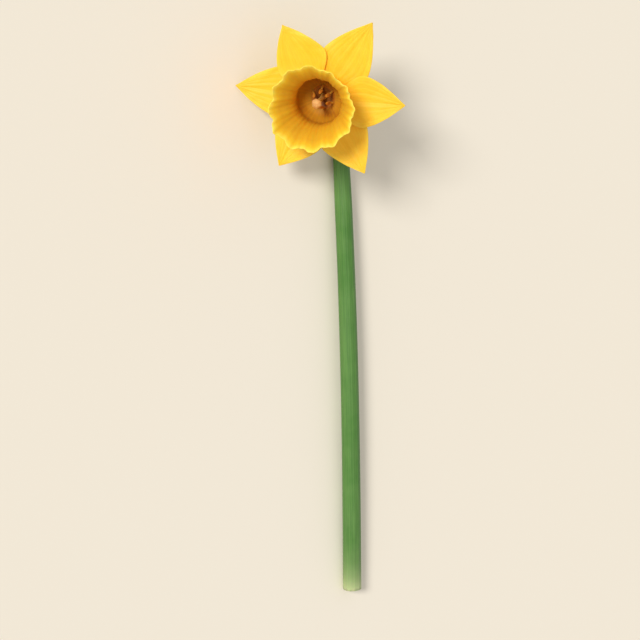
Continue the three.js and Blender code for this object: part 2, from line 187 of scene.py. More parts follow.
def new_group(name, inputs, outputs):
    """An empty group: an input without a value is a vector, and the rest are numbers."""
    group = bpy.data.node_groups.new(name, "ShaderNodeTree")
    for socket, value in inputs.items():
        kind = "NodeSocketVector" if value is None else "NodeSocketFloat"
        made = group.interface.new_socket(socket, in_out="INPUT", socket_type=kind)
        if value is not None:
            made.default_value = value
    for socket in outputs:
        group.interface.new_socket(socket, in_out="OUTPUT", socket_type="NodeSocketFloat")
    return group, group.nodes.new("NodeGroupInput"), group.nodes.new("NodeGroupOutput")


def make_tissue():
    inputs = {"Vector": None, "Patch Scale": 60.0, "Cell Scale": 2500.0}
    group, source, sink = new_group("plant_tissue", inputs, ["Patches", "Cells"])
    place = source.outputs["Vector"]
    broad = {"Vector": place, "Scale": source.outputs["Patch Scale"], "Detail": 3.0, "Roughness": 0.55}
    patches = node(group, "TexNoise", broad).outputs["Fac"]
    fine = {"Vector": place, "Scale": source.outputs["Cell Scale"], "Randomness": 0.9}
    cells = node(group, "TexVoronoi", fine, feature="F1").outputs["Distance"]
    group.links.new(spread(group, patches, 0.3, 0.7), sink.inputs["Patches"])
    group.links.new(cells, sink.inputs["Cells"])
    return group


def make_stripes():
    inputs = {"Across": 0.0, "Along": 0.0, "Count": 12.0, "Stretch": 4.0, "Wander": 0.4, "Seed": 0.0}
    group, source, sink = new_group("lengthwise_stripes", inputs, ["Stripes", "Streaks"])
    sockets = source.outputs
    across = calc(group, "MULTIPLY", sockets["Across"], sockets["Count"])
    along = calc(group, "MULTIPLY", sockets["Along"], sockets["Stretch"])
    straight = node(group, "CombineXYZ", {"X": across, "Y": along, "Z": sockets["Seed"]}).outputs[0]
    wander = node(group, "TexNoise", {"Vector": straight, "Scale": 0.5, "Detail": 1.0}).outputs["Fac"]
    drift = calc(group, "MULTIPLY", calc(group, "SUBTRACT", wander, 0.5), sockets["Wander"])
    turn = calc(group, "MULTIPLY", calc(group, "ADD", across, drift), math.pi)
    wave = calc(group, "ABSOLUTE", calc(group, "SINE", turn))
    group.links.new(calc(group, "SUBTRACT", 1.0, calc(group, "POWER", wave, 0.35)), sink.inputs["Stripes"])
    streaks = node(group, "TexNoise", {"Vector": straight, "Scale": 1.0, "Detail": 3.0}).outputs["Fac"]
    group.links.new(spread(group, streaks, 0.3, 0.7), sink.inputs["Streaks"])
    return group


TISSUE = make_tissue()
STRIPES = make_stripes()


def tissue(tree, patches, cells):
    """Patches and cells at these scales, on the piece's own Object coordinates."""
    place = node(tree, "TexCoord").outputs["Object"]
    inputs = {"Vector": place, "Patch Scale": patches, "Cell Scale": cells}
    made = node(tree, "Group", inputs, node_tree=TISSUE)
    return made.outputs["Patches"], made.outputs["Cells"]


def stripes(tree, across, along, count, stretch, wander, seed=0.0):
    """Stripes and streaks along a part, so many to each unit across it."""
    inputs = {
        "Across": across,
        "Along": along,
        "Count": count,
        "Stretch": stretch,
        "Wander": wander,
        "Seed": seed,
    }
    made = node(tree, "Group", inputs, node_tree=STRIPES)
    return made.outputs["Stripes"], made.outputs["Streaks"]


print("groups:", [group.name for group in (TISSUE, STRIPES)])

# %% [markdown]
# ## Helpers for a finish
#
# A finish reads the numbers that are stored on a piece's points, tints one colour with
# others through masks, and adds up its relief from the same masks.  Then it hands all of
# that to the shader.  Each of those steps is a helper, so a finish reads like a recipe.

# %% Helpers for colour and relief


def one_number(tree, name):
    """The number stored on a piece's points under this name."""
    return node(tree, "Attribute", attribute_name=name).outputs["Fac"]


def three_numbers(tree, name):
    """The three numbers stored on a piece's points under this name."""
    vector = node(tree, "Attribute", attribute_name=name).outputs["Vector"]
    return tuple(node(tree, "SeparateXYZ", {0: vector}).outputs)


def tinted(tree, colour, mask, amount, added):
    """Lays a second colour over the first where a mask is light, and by this much at most."""
    return blend(tree, calc(tree, "MULTIPLY", mask, amount), colour, added)


def raised(tree, first, *others):
    """Adds up a relief from masks, each with how far it rises or, below zero, sinks."""
    height = calc(tree, "MULTIPLY", *first)
    for mask, rise in others:
        height = calc(tree, "ADD", height, calc(tree, "MULTIPLY", mask, rise))
    return height


def linear(red, green, blue):
    """A screen colour, 0 to 255, as the light that it stands for."""
    shares = [value / 255 for value in (red, green, blue)]
    light = [share / 12.92 if share <= 0.04045 else ((share + 0.055) / 1.055) ** 2.4 for share in shares]
    return (*light, 1.0)


# %% Helpers for the shader
RELIEF_DEPTH = 0.15 * MM
PLAIN_SHINE = 0.5


def new_material(name):
    """A new material with its shader, both returned with the node tree."""
    material = bpy.data.materials.new(name)
    material.use_nodes = True
    tree = material.node_tree
    return material, tree, tree.nodes["Principled BSDF"]


def dress(tree, shader, colour, height, grain, roughness, strength, depth=RELIEF_DEPTH):
    """Gives a shader its colour, its relief, and a roughness that varies with a grain."""
    tree.links.new(colour, shader.inputs["Base Color"])
    bump = node(tree, "Bump", {"Height": height, "Strength": strength, "Distance": depth})
    tree.links.new(bump.outputs[0], shader.inputs["Normal"])
    tree.links.new(spread(tree, grain, 0.0, 1.0, *roughness), shader.inputs["Roughness"])


def let_light_in(shader, weight, depth, reach, shine=PLAIN_SHINE):
    """Sets how much light sinks in, how deep, how far each colour goes, and the shine left."""
    shader.inputs["Subsurface Weight"].default_value = weight
    shader.inputs["Subsurface Scale"].default_value = depth
    shader.inputs["Subsurface Radius"].default_value = reach
    shader.inputs["Specular IOR Level"].default_value = shine


# %% [markdown]
# ## The petals' finish
#
# A daffodil's petal is a clear warm yellow with fine parallel veins from its foot to its
# point.  It deepens towards the trumpet, pales along its thin edges, and its back is paler
# and duller.  Light passes through it, which subsurface scattering gives, and a touch of
# sheen stands for the velvet of its cells.

# %% The petals' finish
PETAL_YELLOW = linear(255, 199, 36)
PETAL_PALE = linear(255, 218, 68)
PETAL_DEEP = linear(250, 182, 20)
PETAL_BACK = linear(244, 216, 84)
PETAL_VEINS = 9


def petal_finish():
    material, tree, shader = new_material("petal_yellow")
    side, share, seed = three_numbers(tree, "blade")
    patches, cells = tissue(tree, patches=70, cells=3800)
    veins, streaks = stripes(tree, side, share, PETAL_VEINS, stretch=3, wander=0.9, seed=seed)
    fine, _ = stripes(tree, side, share, 3 * PETAL_VEINS, stretch=5, wander=1.4, seed=seed)
    veins = calc(tree, "MULTIPLY", veins, spread(tree, share, 0.8, 0.97, 1.0, 0.0))
    edge = spread(tree, calc(tree, "ABSOLUTE", side), 0.62, 1.0)
    foot = spread(tree, share, 0.0, 0.4, 1.0, 0.0)
    colour = tinted(tree, PETAL_YELLOW, patches, 0.35, PETAL_PALE)
    colour = tinted(tree, colour, edge, 0.55, PETAL_PALE)
    colour = tinted(tree, colour, foot, 0.6, PETAL_DEEP)
    colour = tinted(tree, colour, streaks, 0.25, PETAL_DEEP)
    colour = tinted(tree, colour, veins, 0.4, PETAL_DEEP)
    colour = tinted(tree, colour, one_number(tree, "back"), 0.45, PETAL_BACK)
    height = raised(tree, (veins, -0.6), (fine, -0.35), (cells, 0.25))
    dress(tree, shader, colour, height, cells, roughness=(0.42, 0.58), strength=0.35)
    let_light_in(shader, weight=0.25, depth=1.2 * MM, reach=(1.0, 0.7, 0.15), shine=0.35)
    shader.inputs["Sheen Weight"].default_value = 0.12
    return material


PETAL_FINISH = petal_finish()

# %% [markdown]
# ## Small helpers for modelling
#
# An operator acts on everything that is selected, and loading the frame leaves its nodes
# selected, so each step starts by deselecting all.  Most relief on a plant follows a rule,
# such as a pleat every thirty degrees, so a primitive's points are also moved by formula:
# `points_of` reads them and `set_points` writes them.

# %% Helpers for points


def only(piece):
    """Selects one piece and nothing else."""
    bpy.ops.object.select_all(action="DESELECT")
    piece.select_set(True)
    bpy.context.view_layer.objects.active = piece


def points_of(piece):
    return vectors_of(piece.data.vertices, "co")


def normals_of(piece):
    return vectors_of(piece.data.vertices, "normal")


def set_points(piece, points):
    piece.data.vertices.foreach_set("co", np.asarray(points, np.float32).ravel())
    piece.data.update()


def store(piece, name, *columns):
    """Keeps one number or three for each point, for the materials to read."""
    count = len(piece.data.vertices)
    values = np.stack([np.broadcast_to(column, count) for column in columns], 1)
    kind, field = ("FLOAT", "value") if len(columns) == 1 else ("FLOAT_VECTOR", "vector")
    layer = piece.data.attributes.new(name, kind, "POINT")
    layer.data.foreach_set(field, values.astype(np.float32).ravel())


# %% Helpers for curves
QUARTER_TURN = math.pi / 2
FULL_TURN = 2 * math.pi


def smooth(value):
    """Runs softly from 0 to 1 while the value does, and stays there outside."""
    value = np.clip(value, 0, 1)
    return value * value * (3 - 2 * value)


def mixed(first, second, share):
    return first + (second - first) * share


def bell(distance, width):
    """One at the place itself, falling away softly on both sides."""
    return np.exp(-((distance / width) ** 2))


# %% Helpers for finishing a piece


def lay(piece, place):
    """Puts a piece in its place in the frame and leaves its object at the origin."""
    only(piece)
    piece.matrix_world = place
    bpy.ops.object.transform_apply(location=True, rotation=True, scale=True)
    bpy.ops.object.shade_smooth()


def hand_over(piece, place, cad_node, material):
    """Lays a piece, and lets it stand for a CAD node and wear a finish."""
    lay(piece, place)
    piece.data.materials.clear()
    piece.data.materials.append(material)
    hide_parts(cad_node)
    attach(piece, "root")
    faces = sum(len(face.vertices) - 2 for face in piece.data.polygons)
    print(f"{piece.name}: {faces} triangles for {cad_node}")


# %% [markdown]
# ## The petals
#
# Six petals stand in two whorls of three, the inner whorl in front.  A petal is a pointed
# blade: narrower at its foot, widest a third of the way out, creased along its midrib and
# waved along its edges.  It could be cut out of a plane and bent by hand, but six petals
# that differ a little are easier from one rule with each petal's own values.
#
# A grid is added, its points are placed by that rule, the veins and small ripples are
# raised in the mesh itself, and Solidify gives it a thickness that thins towards the edges.
# The feet end on an arc inside the trumpet's wall, so that no gap shows between two petals.

# %% The petals' sizes
PETAL_BASE = 12.8 * MM
PETAL_FOOT = 12.2 * MM
PETAL_WIDEST = 23 * MM
PETAL_WIDTH = 29 * MM
PETAL_CLAW_WIDTH = 16.4 * MM
PETAL_TIP_WIDTH = 1.2 * MM
PETAL_EDGE_THICKNESS = 0.45 * MM
PETAL_STEP_LENGTH = 2.4 * MM
PETAL_TAPER = 1.5
PETAL_TIP_BLUNTNESS = 12
PETAL_EASING = 0.05
PETAL_SEED_STEP = 30
PETAL_COLUMNS = 64
PETAL_ROWS = 104

# Here sizes are in millimetres, angles in degrees and phases in radians.
INNER_WHORL = {"name": "petal_inner", "seat": 0.26, "step": 1.84, "rise": 2.6, "fold": 1.5, "wave": 0.5}
OUTER_WHORL = {"name": "petal_outer", "seat": -0.26, "step": 0.26, "rise": 2.2, "fold": 0.5, "wave": 0.4}
INNER_PETALS = [
    {"angle": -5, "tip": 46.5, "phase": 0},
    {"angle": 116, "tip": 45.5, "phase": 2.1},
    {"angle": 236, "tip": 44.5, "phase": 4.2},
]
OUTER_PETALS = [
    {"angle": FIRST_OUTER_PETAL_ANGLE, "tip": 50.5, "phase": 1},
    {"angle": 171, "tip": 48.5, "phase": 2.7},
    {"angle": 298, "tip": 47.5, "phase": 4.4},
]
VEIN_HEIGHT = 0.05
MIDRIB_DEPTH = 0.22
MIDRIB_BANKS = 0.12
RIPPLE_HEIGHT = 0.16
CRINKLE_HEIGHT = 0.07

# These are shares of the half width, and radians along or across a petal.
MIDRIB_WIDTH = 0.07
BANKS_FROM_MIDRIB = 0.2
BANKS_WIDTH = 0.1
EDGE_WAVES = 9
EDGE_WAVE_SLANT = 1.2
RIPPLES = 23
RIPPLE_SLANT = 2.5
CRINKLES = 41
CRINKLE_SLANT = 9

# %% The petals' rule


def petal_half_width(petal, reach):
    """Half the width at a distance from the flower's axis."""
    claw = PETAL_CLAW_WIDTH / 2
    full = PETAL_WIDTH / 2
    opening = np.clip((reach - PETAL_BASE) / (PETAL_WIDEST - PETAL_BASE), 0, 1)
    closing = np.clip((reach - PETAL_WIDEST) / (petal["tip"] * MM - PETAL_WIDEST), 0, 1)
    rising = mixed(claw, full, np.sin(opening * QUARTER_TURN))
    tip = PETAL_TIP_WIDTH / 2 * (1 - closing**PETAL_TIP_BLUNTNESS)
    falling = np.maximum(full * (1 - closing**PETAL_TAPER), tip)
    return np.where(reach < PETAL_WIDEST, rising, falling)


def petal_height(petal, reach, side):
    """The middle surface, with the step at its foot, the crease and the wave of the edges."""
    share = np.clip((reach - PETAL_BASE) / (petal["tip"] * MM - PETAL_BASE), 0, 1)
    radius = np.hypot(reach, side * petal_half_width(petal, reach))
    forward = petal["seat"] + petal["step"] * smooth((radius - PETAL_BASE) / PETAL_STEP_LENGTH)
    rise = petal["rise"] * share**1.5
    along_fold = np.sin(np.pi * np.minimum(share * 1.05, 1)) ** 0.8
    fold = petal["fold"] * np.abs(side) ** 1.5 * along_fold
    turn = share * EDGE_WAVES + petal["phase"] + side * EDGE_WAVE_SLANT
    wave = petal["wave"] * np.sin(turn) * side * side * smooth(share * 3)
    return (forward + rise + fold + wave) * MM


def petal_relief(petal, share, side):
    """The midrib, the veins and the small ripples, in millimetres."""
    fading = smooth(share * 6) * smooth((1 - share) * 5)
    wander = 0.6 * np.sin(share * 7 + petal["phase"])
    veins = VEIN_HEIGHT * np.cos(side * PETAL_VEINS * math.pi + wander)
    midrib = MIDRIB_BANKS * bell(np.abs(side) - BANKS_FROM_MIDRIB, BANKS_WIDTH)
    midrib -= MIDRIB_DEPTH * bell(side, MIDRIB_WIDTH)
    turn = share * RIPPLES + side * RIPPLE_SLANT + petal["phase"] * 2
    ripple = RIPPLE_HEIGHT * np.sin(turn) * np.abs(side) ** 3
    turn = share * CRINKLES + side * CRINKLE_SLANT - petal["phase"]
    crinkle = CRINKLE_HEIGHT * np.sin(turn) * np.abs(side)
    return (veins + midrib + ripple + crinkle) * fading


# %% A sheet from a grid


def sheet(name, columns, rows):
    """A grid to be shaped, with each point's place across, -1 to 1, and along, 0 to 1."""
    bpy.ops.object.select_all(action="DESELECT")
    bpy.ops.mesh.primitive_grid_add(x_subdivisions=columns, y_subdivisions=rows, size=2)
    piece = bpy.context.object
    piece.name = name
    flat = points_of(piece)
    return piece, flat[:, 0], (flat[:, 1] + 1) / 2


def thicken(piece, thickness, shares):
    """Gives a sheet its thickness, half to each side, or at each point a share of it."""
    group = piece.vertex_groups.new(name="thickness")
    for index, share in enumerate(shares):
        group.add([index], float(share), "REPLACE")
    only(piece)
    bpy.ops.object.modifier_add(type="SOLIDIFY")
    wall = piece.modifiers[-1]
    wall.thickness = thickness
    wall.offset = 0
    wall.vertex_group = group.name
    bpy.ops.object.modifier_apply(modifier=wall.name)


# %% One petal


def petal_blade(petal, name):
    """A sheet moved to the petal's form, with its rows closer at both ends."""
    piece, side, share = sheet(name, PETAL_COLUMNS, PETAL_ROWS)
    eased = share - PETAL_EASING * np.sin(FULL_TURN * share)
    foot = np.sqrt(PETAL_FOOT**2 - (side * PETAL_CLAW_WIDTH / 2) ** 2)
    reach = mixed(foot, petal["tip"] * MM, eased)
    half = petal_half_width(petal, reach)
    height = petal_height(petal, reach, side) + petal_relief(petal, share, side) * MM
    set_points(piece, np.stack([side * half, reach, height], 1))
    store(piece, "blade", side, share, petal["angle"] / PETAL_SEED_STEP)
    body = (1 - np.abs(side) ** 5) * smooth((1 - share) * 7)
    thicken(piece, PETAL_THICKNESS, mixed(PETAL_EDGE_THICKNESS / PETAL_THICKNESS, 1, body))
    store(piece, "back", normals_of(piece)[:, 2] < 0)
    return piece


def make_petal(petal, number):
    name = f"{petal['name']}_{number}"
    turn = Matrix.Rotation(math.radians(petal["angle"] - 90), 4, "Z")
    hand_over(petal_blade(petal, name + "_veined"), BLOOM @ turn, name, PETAL_FINISH)


# %% Both whorls
for whorl, petals in ((INNER_WHORL, INNER_PETALS), (OUTER_WHORL, OUTER_PETALS)):
    for index, petal in enumerate(petals):
        make_petal({**whorl, **petal}, index + 1)

# %% [markdown]
# ## The trumpet's finish
#
# The corona is a deeper, more orange yellow than the petals.  Outside it shades from warm
# yellow to orange at its foot.  Inside, its colour is painted shade: the flare is a duller
# gold that lightens to the rim, and the throat goes down through orange to a deep brown.
# Fine ribs run up the trumpet, and a pale line along its rim is a painted highlight.

# %% The trumpet's finish
TRUMPET_YELLOW = linear(255, 196, 30)
TRUMPET_LIGHT = linear(255, 218, 52)
TRUMPET_FOOT = linear(240, 172, 24)
# The flare's duller gold and the throat's brown are painted shade, deepest at the bottom.
FLARE_PAINTED_SHADE = linear(220, 172, 44)
# A painted highlight for the rim's edge.
RIM_PAINTED_HIGHLIGHT = linear(255, 236, 100)
THROAT_ORANGE = linear(236, 180, 44)
THROAT_PAINTED_SHADE = linear(174, 106, 24)
CORONA_PLEATS = 12
CORONA_RIBS = 3 * CORONA_PLEATS


def trumpet_finish():
    material, tree, shader = new_material("trumpet_orange_yellow")
    around, share, _ = three_numbers(tree, "flare")
    patches, cells = tissue(tree, patches=90, cells=3600)
    ribs, streaks = stripes(tree, around, share, CORONA_RIBS, stretch=2, wander=0.5)
    outer = blend(tree, spread(tree, share, 0.0, 0.5), TRUMPET_FOOT, TRUMPET_YELLOW)
    outer = blend(tree, spread(tree, share, 0.7, 1.0, 0.0, 0.6), outer, TRUMPET_LIGHT)
    # Inside is painted shade: brown at the bottom of the throat, orange up its wall, a duller gold in the
    # flare, lighter towards the rim.
    inner = blend(tree, spread(tree, share, 0.04, 0.38), THROAT_PAINTED_SHADE, THROAT_ORANGE)
    inner = blend(tree, spread(tree, share, 0.52, 0.68), inner, FLARE_PAINTED_SHADE)
    inner = blend(tree, spread(tree, share, 0.8, 1.0, 0.0, 0.7), inner, TRUMPET_LIGHT)
    colour = blend(tree, one_number(tree, "inside"), outer, inner)
    # A painted highlight along the rim.
    colour = blend(tree, spread(tree, share, 0.92, 1.0, 0.0, 0.7), colour, RIM_PAINTED_HIGHLIGHT)
    colour = tinted(tree, colour, patches, 0.2, TRUMPET_LIGHT)
    colour = tinted(tree, colour, ribs, 0.3, TRUMPET_FOOT)
    colour = tinted(tree, colour, streaks, 0.18, TRUMPET_FOOT)
    height = raised(tree, (ribs, -0.7), (cells, 0.25))
    dress(tree, shader, colour, height, cells, roughness=(0.4, 0.56), strength=0.4)
    let_light_in(shader, weight=0.2, depth=1.2 * MM, reach=(1.0, 0.55, 0.1), shine=0.25)
    return material


TRUMPET_FINISH = trumpet_finish()

# %% [markdown]
# ## The trumpet
#
# The corona is a thin-walled trumpet, turned about the flower's axis, pleated twelve times
# and frilled along its rim.  A turned form is a spin: the wall's cross-section is one closed
# loop of points, and Spin carries it round the axis.  The loop's ends then meet, so the
# doubled points are merged and the normals are made to point outwards.  At its foot the
# wall runs inwards along the floor of the floral tube, which leaves no seam in the throat.
#
# The pleats grow from nothing at the foot to their full depth at the rim, which no single
# operator does.  So each point is then moved by the same rule as in the CAD model, with the
# finer ribs and the crinkled edge of the real trumpet added: `round_axis` reads its turn
# and its distance from the axis, and `placed_round` puts it back with new ones.

# %% The trumpet's sizes
CORONA_LENGTH = 39 * MM
CORONA_SHOULDER = 5 * MM
CORONA_THROAT_RADIUS = 14.3 * MM
CORONA_WAIST_RADIUS = 13.9 * MM
CORONA_RIM_RADIUS = 22.9 * MM
CORONA_WALL = 1 * MM
CORONA_RIM_WALL = 0.55 * MM
CORONA_WAIST_FROM = 0.1
CORONA_WAIST_SPAN = 0.25
CORONA_FLARES_FROM = 0.36
CORONA_FLARE_CURVE = 1.9
CORONA_FOOT_RADIUS = 13.4 * MM
CORONA_FOOT_BORE = 10.4 * MM
CORONA_FLOOR = np.array([[9.6, -0.55], [8.6, -1.1], [7.6, -1.65], [6.6, -2.1], [5.9, -2.4]]) * MM
CORONA_FLOOR_EDGE = [11.3 * MM, -0.4 * MM]
CORONA_TURN_STEPS = 360
CORONA_LEVELS = 64


def corona_radius(height):
    """The outer radius of the plain trumpet at a height above its foot."""
    share = height / CORONA_LENGTH
    foot = mixed(CORONA_FOOT_RADIUS, CORONA_THROAT_RADIUS, smooth(height / CORONA_SHOULDER))
    waist = mixed(foot, CORONA_WAIST_RADIUS, smooth((share - CORONA_WAIST_FROM) / CORONA_WAIST_SPAN))
    opening = np.maximum((share - CORONA_FLARES_FROM) / (1 - CORONA_FLARES_FROM), 0)
    return waist + (CORONA_RIM_RADIUS - CORONA_WAIST_RADIUS) * opening**CORONA_FLARE_CURVE


def corona_section():
    """The wall as a closed loop of radius and height: a rounded rim, and a foot like a bowl."""
    climb = np.linspace(0, 1, CORONA_LEVELS)
    height = climb * CORONA_LENGTH
    outer = corona_radius(height)
    inner = outer - mixed(CORONA_WALL, CORONA_RIM_WALL, smooth((climb - 0.5) * 2))
    opening = np.sin(np.clip(height / CORONA_SHOULDER, 0, 1) * QUARTER_TURN)
    bowl = mixed(CORONA_FOOT_BORE, CORONA_THROAT_RADIUS - CORONA_WALL, opening)
    inner = np.where(height < CORONA_SHOULDER, np.minimum(inner, bowl), inner)
    up = np.stack([outer, height], 1)
    down = np.stack([inner, height], 1)[::-1]
    lip = (up[-1] + down[0]) / 2 + np.array([0, CORONA_RIM_WALL * 0.35])
    return np.concatenate([up, [lip], down, CORONA_FLOOR, [CORONA_FLOOR_EDGE]])


# %% Spinning the cross-section


def tidy_normals(piece):
    """Merges doubled points and turns every face outwards."""
    only(piece)
    bpy.ops.object.mode_set(mode="EDIT")
    bpy.ops.mesh.select_all(action="SELECT")
    bpy.ops.mesh.remove_doubles(threshold=0.001 * MM)
    bpy.ops.mesh.normals_make_consistent(inside=False)
    bpy.ops.object.mode_set(mode="OBJECT")


def spun(name, section, steps):
    """A closed loop of radius and height, carried once round the flower's axis."""
    bpy.ops.object.select_all(action="DESELECT")
    bpy.ops.mesh.primitive_circle_add(vertices=len(section), radius=1, fill_type="NOTHING")
    piece = bpy.context.object
    piece.name = name
    set_points(piece, np.stack([section[:, 0], np.zeros(len(section)), section[:, 1]], 1))
    bpy.ops.object.mode_set(mode="EDIT")
    bpy.ops.mesh.select_all(action="SELECT")
    bpy.ops.mesh.spin(steps=steps, angle=FULL_TURN, center=(0, 0, 0), axis=(0, 0, 1))
    bpy.ops.object.mode_set(mode="OBJECT")
    tidy_normals(piece)
    return piece


corona = spun("corona_ribbed", corona_section(), CORONA_TURN_STEPS)
print("corona:", len(corona.data.vertices), "points")

# %% Turns round the axis


def round_axis(points):
    """Each point's turn round the Z axis, and its distance from that axis."""
    return np.arctan2(points[:, 1], points[:, 0]), np.hypot(points[:, 0], points[:, 1])


def placed_round(turn, radius, height):
    """The points that have these turns, distances and heights."""
    return np.stack([radius * np.cos(turn), radius * np.sin(turn), height], 1)


# %% Pleats, ribs and frill
CORONA_PLEAT_DEPTH = 0.8 * MM
CORONA_FRILL = 1.1 * MM
CORONA_SWAY = 0.5 * MM
CORONA_RIB_HEIGHT = 0.1 * MM
CORONA_CRINKLE = 0.22 * MM
CORONA_CRINKLES_ROUND = 31
CORONA_NICK = 0.3 * MM
CORONA_NICKS_ROUND = 37
CORONA_SKIN = 0.3 * MM


def shape_corona(piece):
    points = points_of(piece)
    turn, radius = round_axis(points)
    height = points[:, 2]
    share = np.clip(height / CORONA_LENGTH, 0, 1)
    inside = radius < corona_radius(np.minimum(height, CORONA_LENGTH)) - CORONA_SKIN
    pleat = np.cos(CORONA_PLEATS * turn)
    slow = np.cos(3 * turn + 0.6)
    swell = CORONA_PLEAT_DEPTH * pleat * share**1.6 + CORONA_SWAY * slow * share**2
    ribs = CORONA_RIB_HEIGHT * np.cos(CORONA_RIBS * turn) * smooth(share * 4) * smooth((1.15 - share) * 4)
    crinkle = CORONA_CRINKLE * np.cos(CORONA_CRINKLES_ROUND * turn + 2 * np.sin(3 * turn)) * share**8
    frill = CORONA_FRILL * share**4 * (pleat + 0.4 * np.cos(5 * turn + 1))
    nicks = CORONA_NICK * share**10 * np.cos(CORONA_NICKS_ROUND * turn + 3 * np.sin(4 * turn))
    height = height + frill + nicks - PETAL_THICKNESS / 2
    set_points(piece, placed_round(turn, radius + swell + ribs + crinkle, height))
    store(piece, "flare", turn / FULL_TURN, share, 0)
    # inside marks the inner wall, which wears the painted shade.
    store(piece, "inside", inside)


shape_corona(corona)
hand_over(corona, BLOOM, "corona", TRUMPET_FINISH)

# %% [markdown]
# ## The finishes in the throat
#
# The filaments are honey yellow, and the anthers are golden and dusty with pollen.  The
# style is straw-coloured and the stigma at its end is a peach-coloured knob covered in tiny
# beads.  These parts are small and lie in the shade, so one plain recipe serves them all:
# two tones in soft patches over a grain of cells.

# %% The finishes in the throat


def simple_finish(name, tones, roughness, patches, cells, depth):
    """A soft two-tone finish with a cell grain, for the small parts."""
    material, tree, shader = new_material(name)
    patches, cells = tissue(tree, patches, cells)
    colour = blend(tree, patches, *tones)
    dress(tree, shader, colour, cells, cells, roughness, strength=0.6, depth=depth)
    let_light_in(shader, weight=0.15, depth=1 * MM, reach=(1.0, 0.6, 0.2))
    return material


FILAMENT_TONES = linear(226, 180, 70), linear(208, 158, 50)
ANTHER_TONES = linear(222, 150, 30), linear(196, 118, 20)
STYLE_TONES = linear(226, 186, 96), linear(206, 170, 84)
STIGMA_TONES = linear(230, 184, 116), linear(214, 156, 88)
FILAMENT_FINISH = simple_finish(
    "filament_pale_yellow", FILAMENT_TONES, roughness=(0.45, 0.6), patches=400, cells=3600, depth=0.05 * MM
)
ANTHER_FINISH = simple_finish(
    "anther_pollen", ANTHER_TONES, roughness=(0.8, 0.95), patches=900, cells=5200, depth=0.2 * MM
)
STYLE_FINISH = simple_finish(
    "style_straw", STYLE_TONES, roughness=(0.45, 0.6), patches=300, cells=3600, depth=0.05 * MM
)
STIGMA_FINISH = simple_finish(
    "stigma_beads", STIGMA_TONES, roughness=(0.5, 0.65), patches=500, cells=3200, depth=0.25 * MM
)

# %% [markdown]
# ## The floral tube
#
# Behind the petals a short funnel joins them to the ovary.  Outside it carries on the
# petals' yellow and turns green where it meets the ovary.  Inside, at the bottom of the
# throat, it is painted a deep orange-brown shade, darkest at the middle.  It is turned like
# the trumpet, so the same spin makes it, and six shallow furrows mark where the petals run
# into it.

# %% The tube's finish
TUBE_YELLOW = linear(248, 196, 36)
TUBE_GREEN = linear(150, 164, 56)
# Painted shade for the floor of the throat, darkest round the style.
TUBE_FLOOR_PAINTED_SHADE = linear(128, 76, 20)


def tube_finish():
    material, tree, shader = new_material("tube_yellow_to_green")
    around, reach, floor = three_numbers(tree, "funnel")
    patches, cells = tissue(tree, patches=120, cells=3000)
    veins, _ = stripes(tree, around, reach, count=54, stretch=2, wander=0.8)
    outer = blend(tree, spread(tree, reach, 0.0, 0.5), TUBE_GREEN, TUBE_YELLOW)
    outer = tinted(tree, outer, patches, 0.25, PETAL_BACK)
    outer = tinted(tree, outer, veins, 0.25, TUBE_GREEN)
    # The inner floor wears painted shade: darkest at the middle, then the throat's painted brown.
    inner = blend(tree, spread(tree, reach, 0.0, 0.14), TUBE_FLOOR_PAINTED_SHADE, THROAT_PAINTED_SHADE)
    colour = blend(tree, floor, outer, inner)
    height = raised(tree, (veins, -0.6), (cells, 0.25))
    dress(tree, shader, colour, height, cells, roughness=(0.45, 0.6), strength=0.35)
    let_light_in(shader, weight=0.2, depth=1.2 * MM, reach=(1.0, 0.55, 0.1), shine=0.2)
    return material


TUBE_FINISH = tube_finish()

# %% The floral tube
PETAL_COUNT = 6
CORONA_SEAT_RADIUS = 11.6 * MM
CLEAR = 0.3 * MM
TUBE_LENGTH = 6 * MM
TUBE_NECK_RADIUS = 4.6 * MM
TUBE_RIM_RADIUS = 14.8 * MM
TUBE_WALL = 1.1 * MM
STYLE_HOLE_RADIUS = 1.7 * MM
FURROW_DEPTH = 0.35 * MM
FURROW_WIDTH = 0.09
TUBE_TURN_STEPS = 120


def rounded(loop, rounds):
    """Cuts the corners of a closed loop of points, as often as asked."""
    loop = np.asarray(loop, float)
    for _ in range(rounds):
        following = np.roll(loop, -1, 0)
        near = 0.75 * loop + 0.25 * following
        far = 0.25 * loop + 0.75 * following
        loop = np.stack([near, far], 1).reshape(-1, 2)
    return loop


def tube_section():
    """The CAD model's profile, with a thin rim and its hole drawn close round the style."""
    rear = -TUBE_LENGTH
    rim = -PETAL_THICKNESS / 2 - CLEAR
    return [
        [STYLE_HOLE_RADIUS, rear],
        [TUBE_NECK_RADIUS - 0.6 * MM, rear],
        [TUBE_NECK_RADIUS, rear + 1.2 * MM],
        [TUBE_NECK_RADIUS + 2.6 * MM, rear + 2.6 * MM],
        [TUBE_RIM_RADIUS - 2 * MM, rim - TUBE_WALL - 0.3 * MM],
        [TUBE_RIM_RADIUS, rim - 0.2 * MM],
        [TUBE_RIM_RADIUS, rim],
        [CORONA_SEAT_RADIUS - CORONA_WALL, rim],
        [TUBE_NECK_RADIUS + 1.8 * MM, rear + 3.2 * MM],
        [STYLE_HOLE_RADIUS, rear + 2.2 * MM],
    ]


